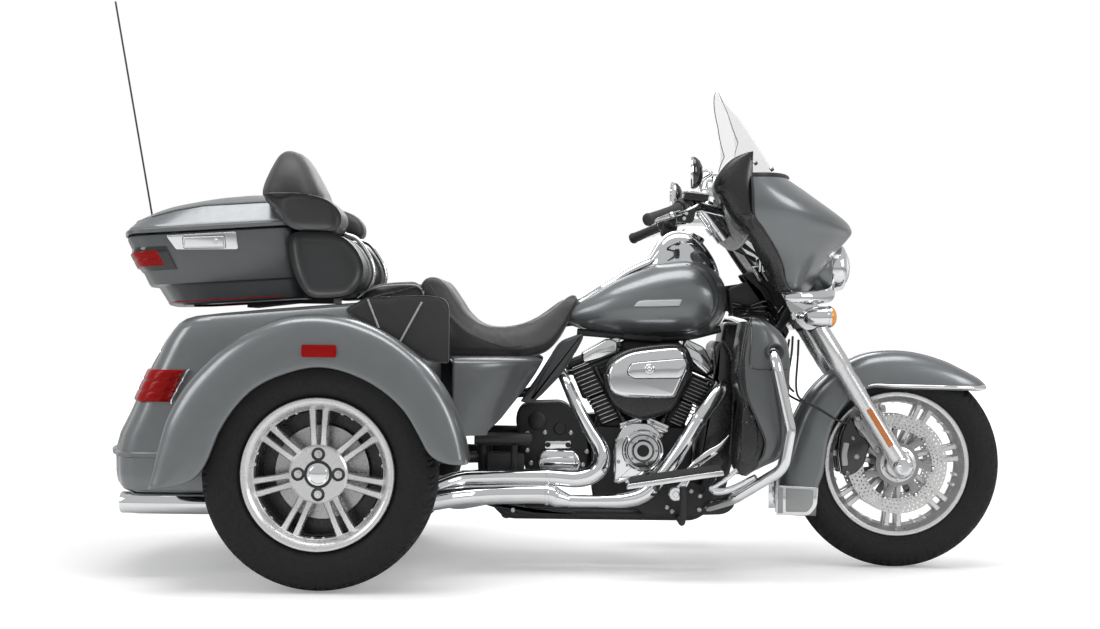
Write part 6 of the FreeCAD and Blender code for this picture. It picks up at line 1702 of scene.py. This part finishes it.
# %% Swinging arm and cross pieces
arm_tube = lathe([(0, 0), (15, 0), (18, 4), (18, 170), (0, 170)], (-36, -182, 388), -X, 32)
side_box = raised([(-170, 350, 8), (-58, 348, 8), (-58, 290, 10), (-170, 288, 8)], -190, -170, 5)
post = raised([(-96, 372, 3), (-78, 372, 3), (-80, 286, 3), (-98, 286, 3)], -196, -186, 3)
low_rail = raised([(-190, 196, 10), (-120, 176, 16), (-40, 158, 10), (100, 158, 10), (100, 176, 6),
                   (-30, 178, 10), (-110, 200, 16), (-170, 214, 10)], -176, -140, 8)
piece("swinging_arms", both(arm_tube, side_box, post, low_rail), black_metal, "chassis")

# %% [markdown]
# ## Floor, light and camera
# A pale floor catches the soft shadow under the wheels. For the camera alone it also glows a little, and more
# so far away, so that its edge melts into the white behind it. The sky is an even grey for the light that
# falls on the machine, a little brighter for mirror-like surfaces, and plain white where the camera looks at
# it directly or through glass. Four large soft lamps stand over the machine, on its near side and on its far
# side, as in a studio. They are weak on purpose: a colour should come out about as it is written.

# %% Floor
FLOOR_HALF = 40
GLOW_REACH, GLOW = (2.2, 7.0), (0.28, 1.1)
floor_mesh = bpy.data.meshes.new("studio_floor")
corners = [(x * FLOOR_HALF, y * FLOOR_HALF, 0) for x, y in ((-1, -1), (1, -1), (1, 1), (-1, 1))]
floor_mesh.from_pydata(corners, [], [(0, 1, 2, 3)])
floor = bpy.data.objects.new("studio_floor", floor_mesh)
bpy.context.scene.collection.objects.link(floor)
floor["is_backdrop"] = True
floor_finish = bpy.data.materials.new("pale_floor")
floor_finish.use_nodes = True
nodes, links = floor_finish.node_tree.nodes, floor_finish.node_tree.links
matt = nodes["Principled BSDF"]
matt.inputs["Base Color"].default_value = (0.86, 0.86, 0.86, 1)
matt.inputs["Roughness"].default_value = 0.9
matt.inputs["Specular IOR Level"].default_value = 0.1
seen = nodes.new("ShaderNodeLightPath")
reach = nodes.new("ShaderNodeVectorMath")
reach.operation = "LENGTH"
links.new(nodes.new("ShaderNodeTexCoord").outputs["Object"], reach.inputs[0])
far = nodes.new("ShaderNodeMapRange")
far.interpolation_type = "SMOOTHSTEP"
far.inputs["From Min"].default_value, far.inputs["From Max"].default_value = GLOW_REACH
far.inputs["To Min"].default_value, far.inputs["To Max"].default_value = GLOW
links.new(reach.outputs["Value"], far.inputs["Value"])
lift = nodes.new("ShaderNodeMath")
lift.operation = "MULTIPLY"
links.new(far.outputs["Result"], lift.inputs[1])
links.new(seen.outputs["Is Camera Ray"], lift.inputs[0])
links.new(lift.outputs[0], matt.inputs["Emission Strength"])
matt.inputs["Emission Color"].default_value = (1, 1, 1, 1)
floor_mesh.materials.append(floor_finish)
print("floor", floor_mesh.name)

# %% Sky and lamps
SKY_LIGHT, SKY_SEEN, SKY_GLOSS = 0.42, 1.0, 0.16
scene = bpy.context.scene
world = bpy.data.worlds.new("studio")
scene.world = world
world.use_nodes = True
nodes, links = world.node_tree.nodes, world.node_tree.links
sky = nodes["Background"]
sky.inputs["Color"].default_value = (1, 1, 1, 1)
path = nodes.new("ShaderNodeLightPath")
top = nodes.new("ShaderNodeMath")
top.operation = "MAXIMUM"
links.new(path.outputs["Is Camera Ray"], top.inputs[0])
links.new(path.outputs["Is Transmission Ray"], top.inputs[1])
level = nodes.new("ShaderNodeMapRange")
links.new(top.outputs[0], level.inputs["Value"])
level.inputs["To Min"].default_value, level.inputs["To Max"].default_value = SKY_LIGHT, SKY_SEEN
glossy = nodes.new("ShaderNodeMath")
glossy.operation = "MULTIPLY_ADD"
links.new(path.outputs["Is Glossy Ray"], glossy.inputs[0])
glossy.inputs[1].default_value = SKY_GLOSS
links.new(level.outputs["Result"], glossy.inputs[2])
links.new(glossy.outputs[0], sky.inputs["Strength"])


def soft_lamp(name, place, aim, size, power):
    """Rectangular lamp at a place (m), turned so that its face looks at the aim."""
    light = bpy.data.lights.new(name, "AREA")
    light.shape = "RECTANGLE"
    light.size, light.size_y = size
    light.energy = power
    lamp = bpy.data.objects.new(name, light)
    lamp.location = place
    lamp.rotation_euler = (Vector(aim) - Vector(place)).to_track_quat("-Z", "Y").to_euler()
    scene.collection.objects.link(lamp)


soft_lamp("overhead_lamp", (0.0, -0.6, 3.6), (0, 0, 0.5), (4.2, 1.6), 95)
soft_lamp("front_side_lamp", (3.4, -2.6, 2.2), (0, 0, 0.7), (1.6, 1.8), 45)
soft_lamp("rear_side_lamp", (-3.4, -2.4, 2.0), (0, 0, 0.7), (1.6, 1.8), 35)
soft_lamp("far_side_lamp", (0.0, 3.2, 2.4), (0, 0, 0.7), (3.0, 1.6), 45)
scene.view_settings.view_transform = "Standard"

# %% Camera
# It stands almost five metres off the right-hand side, at seat height, and is rolled by two thirds of a
# degree.
EYE_AT, EYE_ROLL = (0.0516, -4.9407, 0.7194), 0.67
eye = bpy.data.cameras.new("side_camera")
eye.sensor_width = 36
eye.lens = 52.70
eye.shift_x, eye.shift_y = -0.0118, 0.0117
camera = bpy.data.objects.new("side_camera", eye)
camera.rotation_mode = "XYZ"
camera.matrix_world = (Matrix.Translation(EYE_AT) @ Matrix.Rotation(np.radians(90), 4, "X")
                       @ Matrix.Rotation(np.radians(EYE_ROLL), 4, "Z"))
scene.collection.objects.link(camera)
scene.camera = camera
print("camera", [round(value, 3) for value in camera.location])

# %% [markdown]
# The dressed machine has to fill the same box as the measured one. Its box is printed below.

low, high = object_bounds()
print("visual box", [round(value, 3) for value in (*low, *high)])
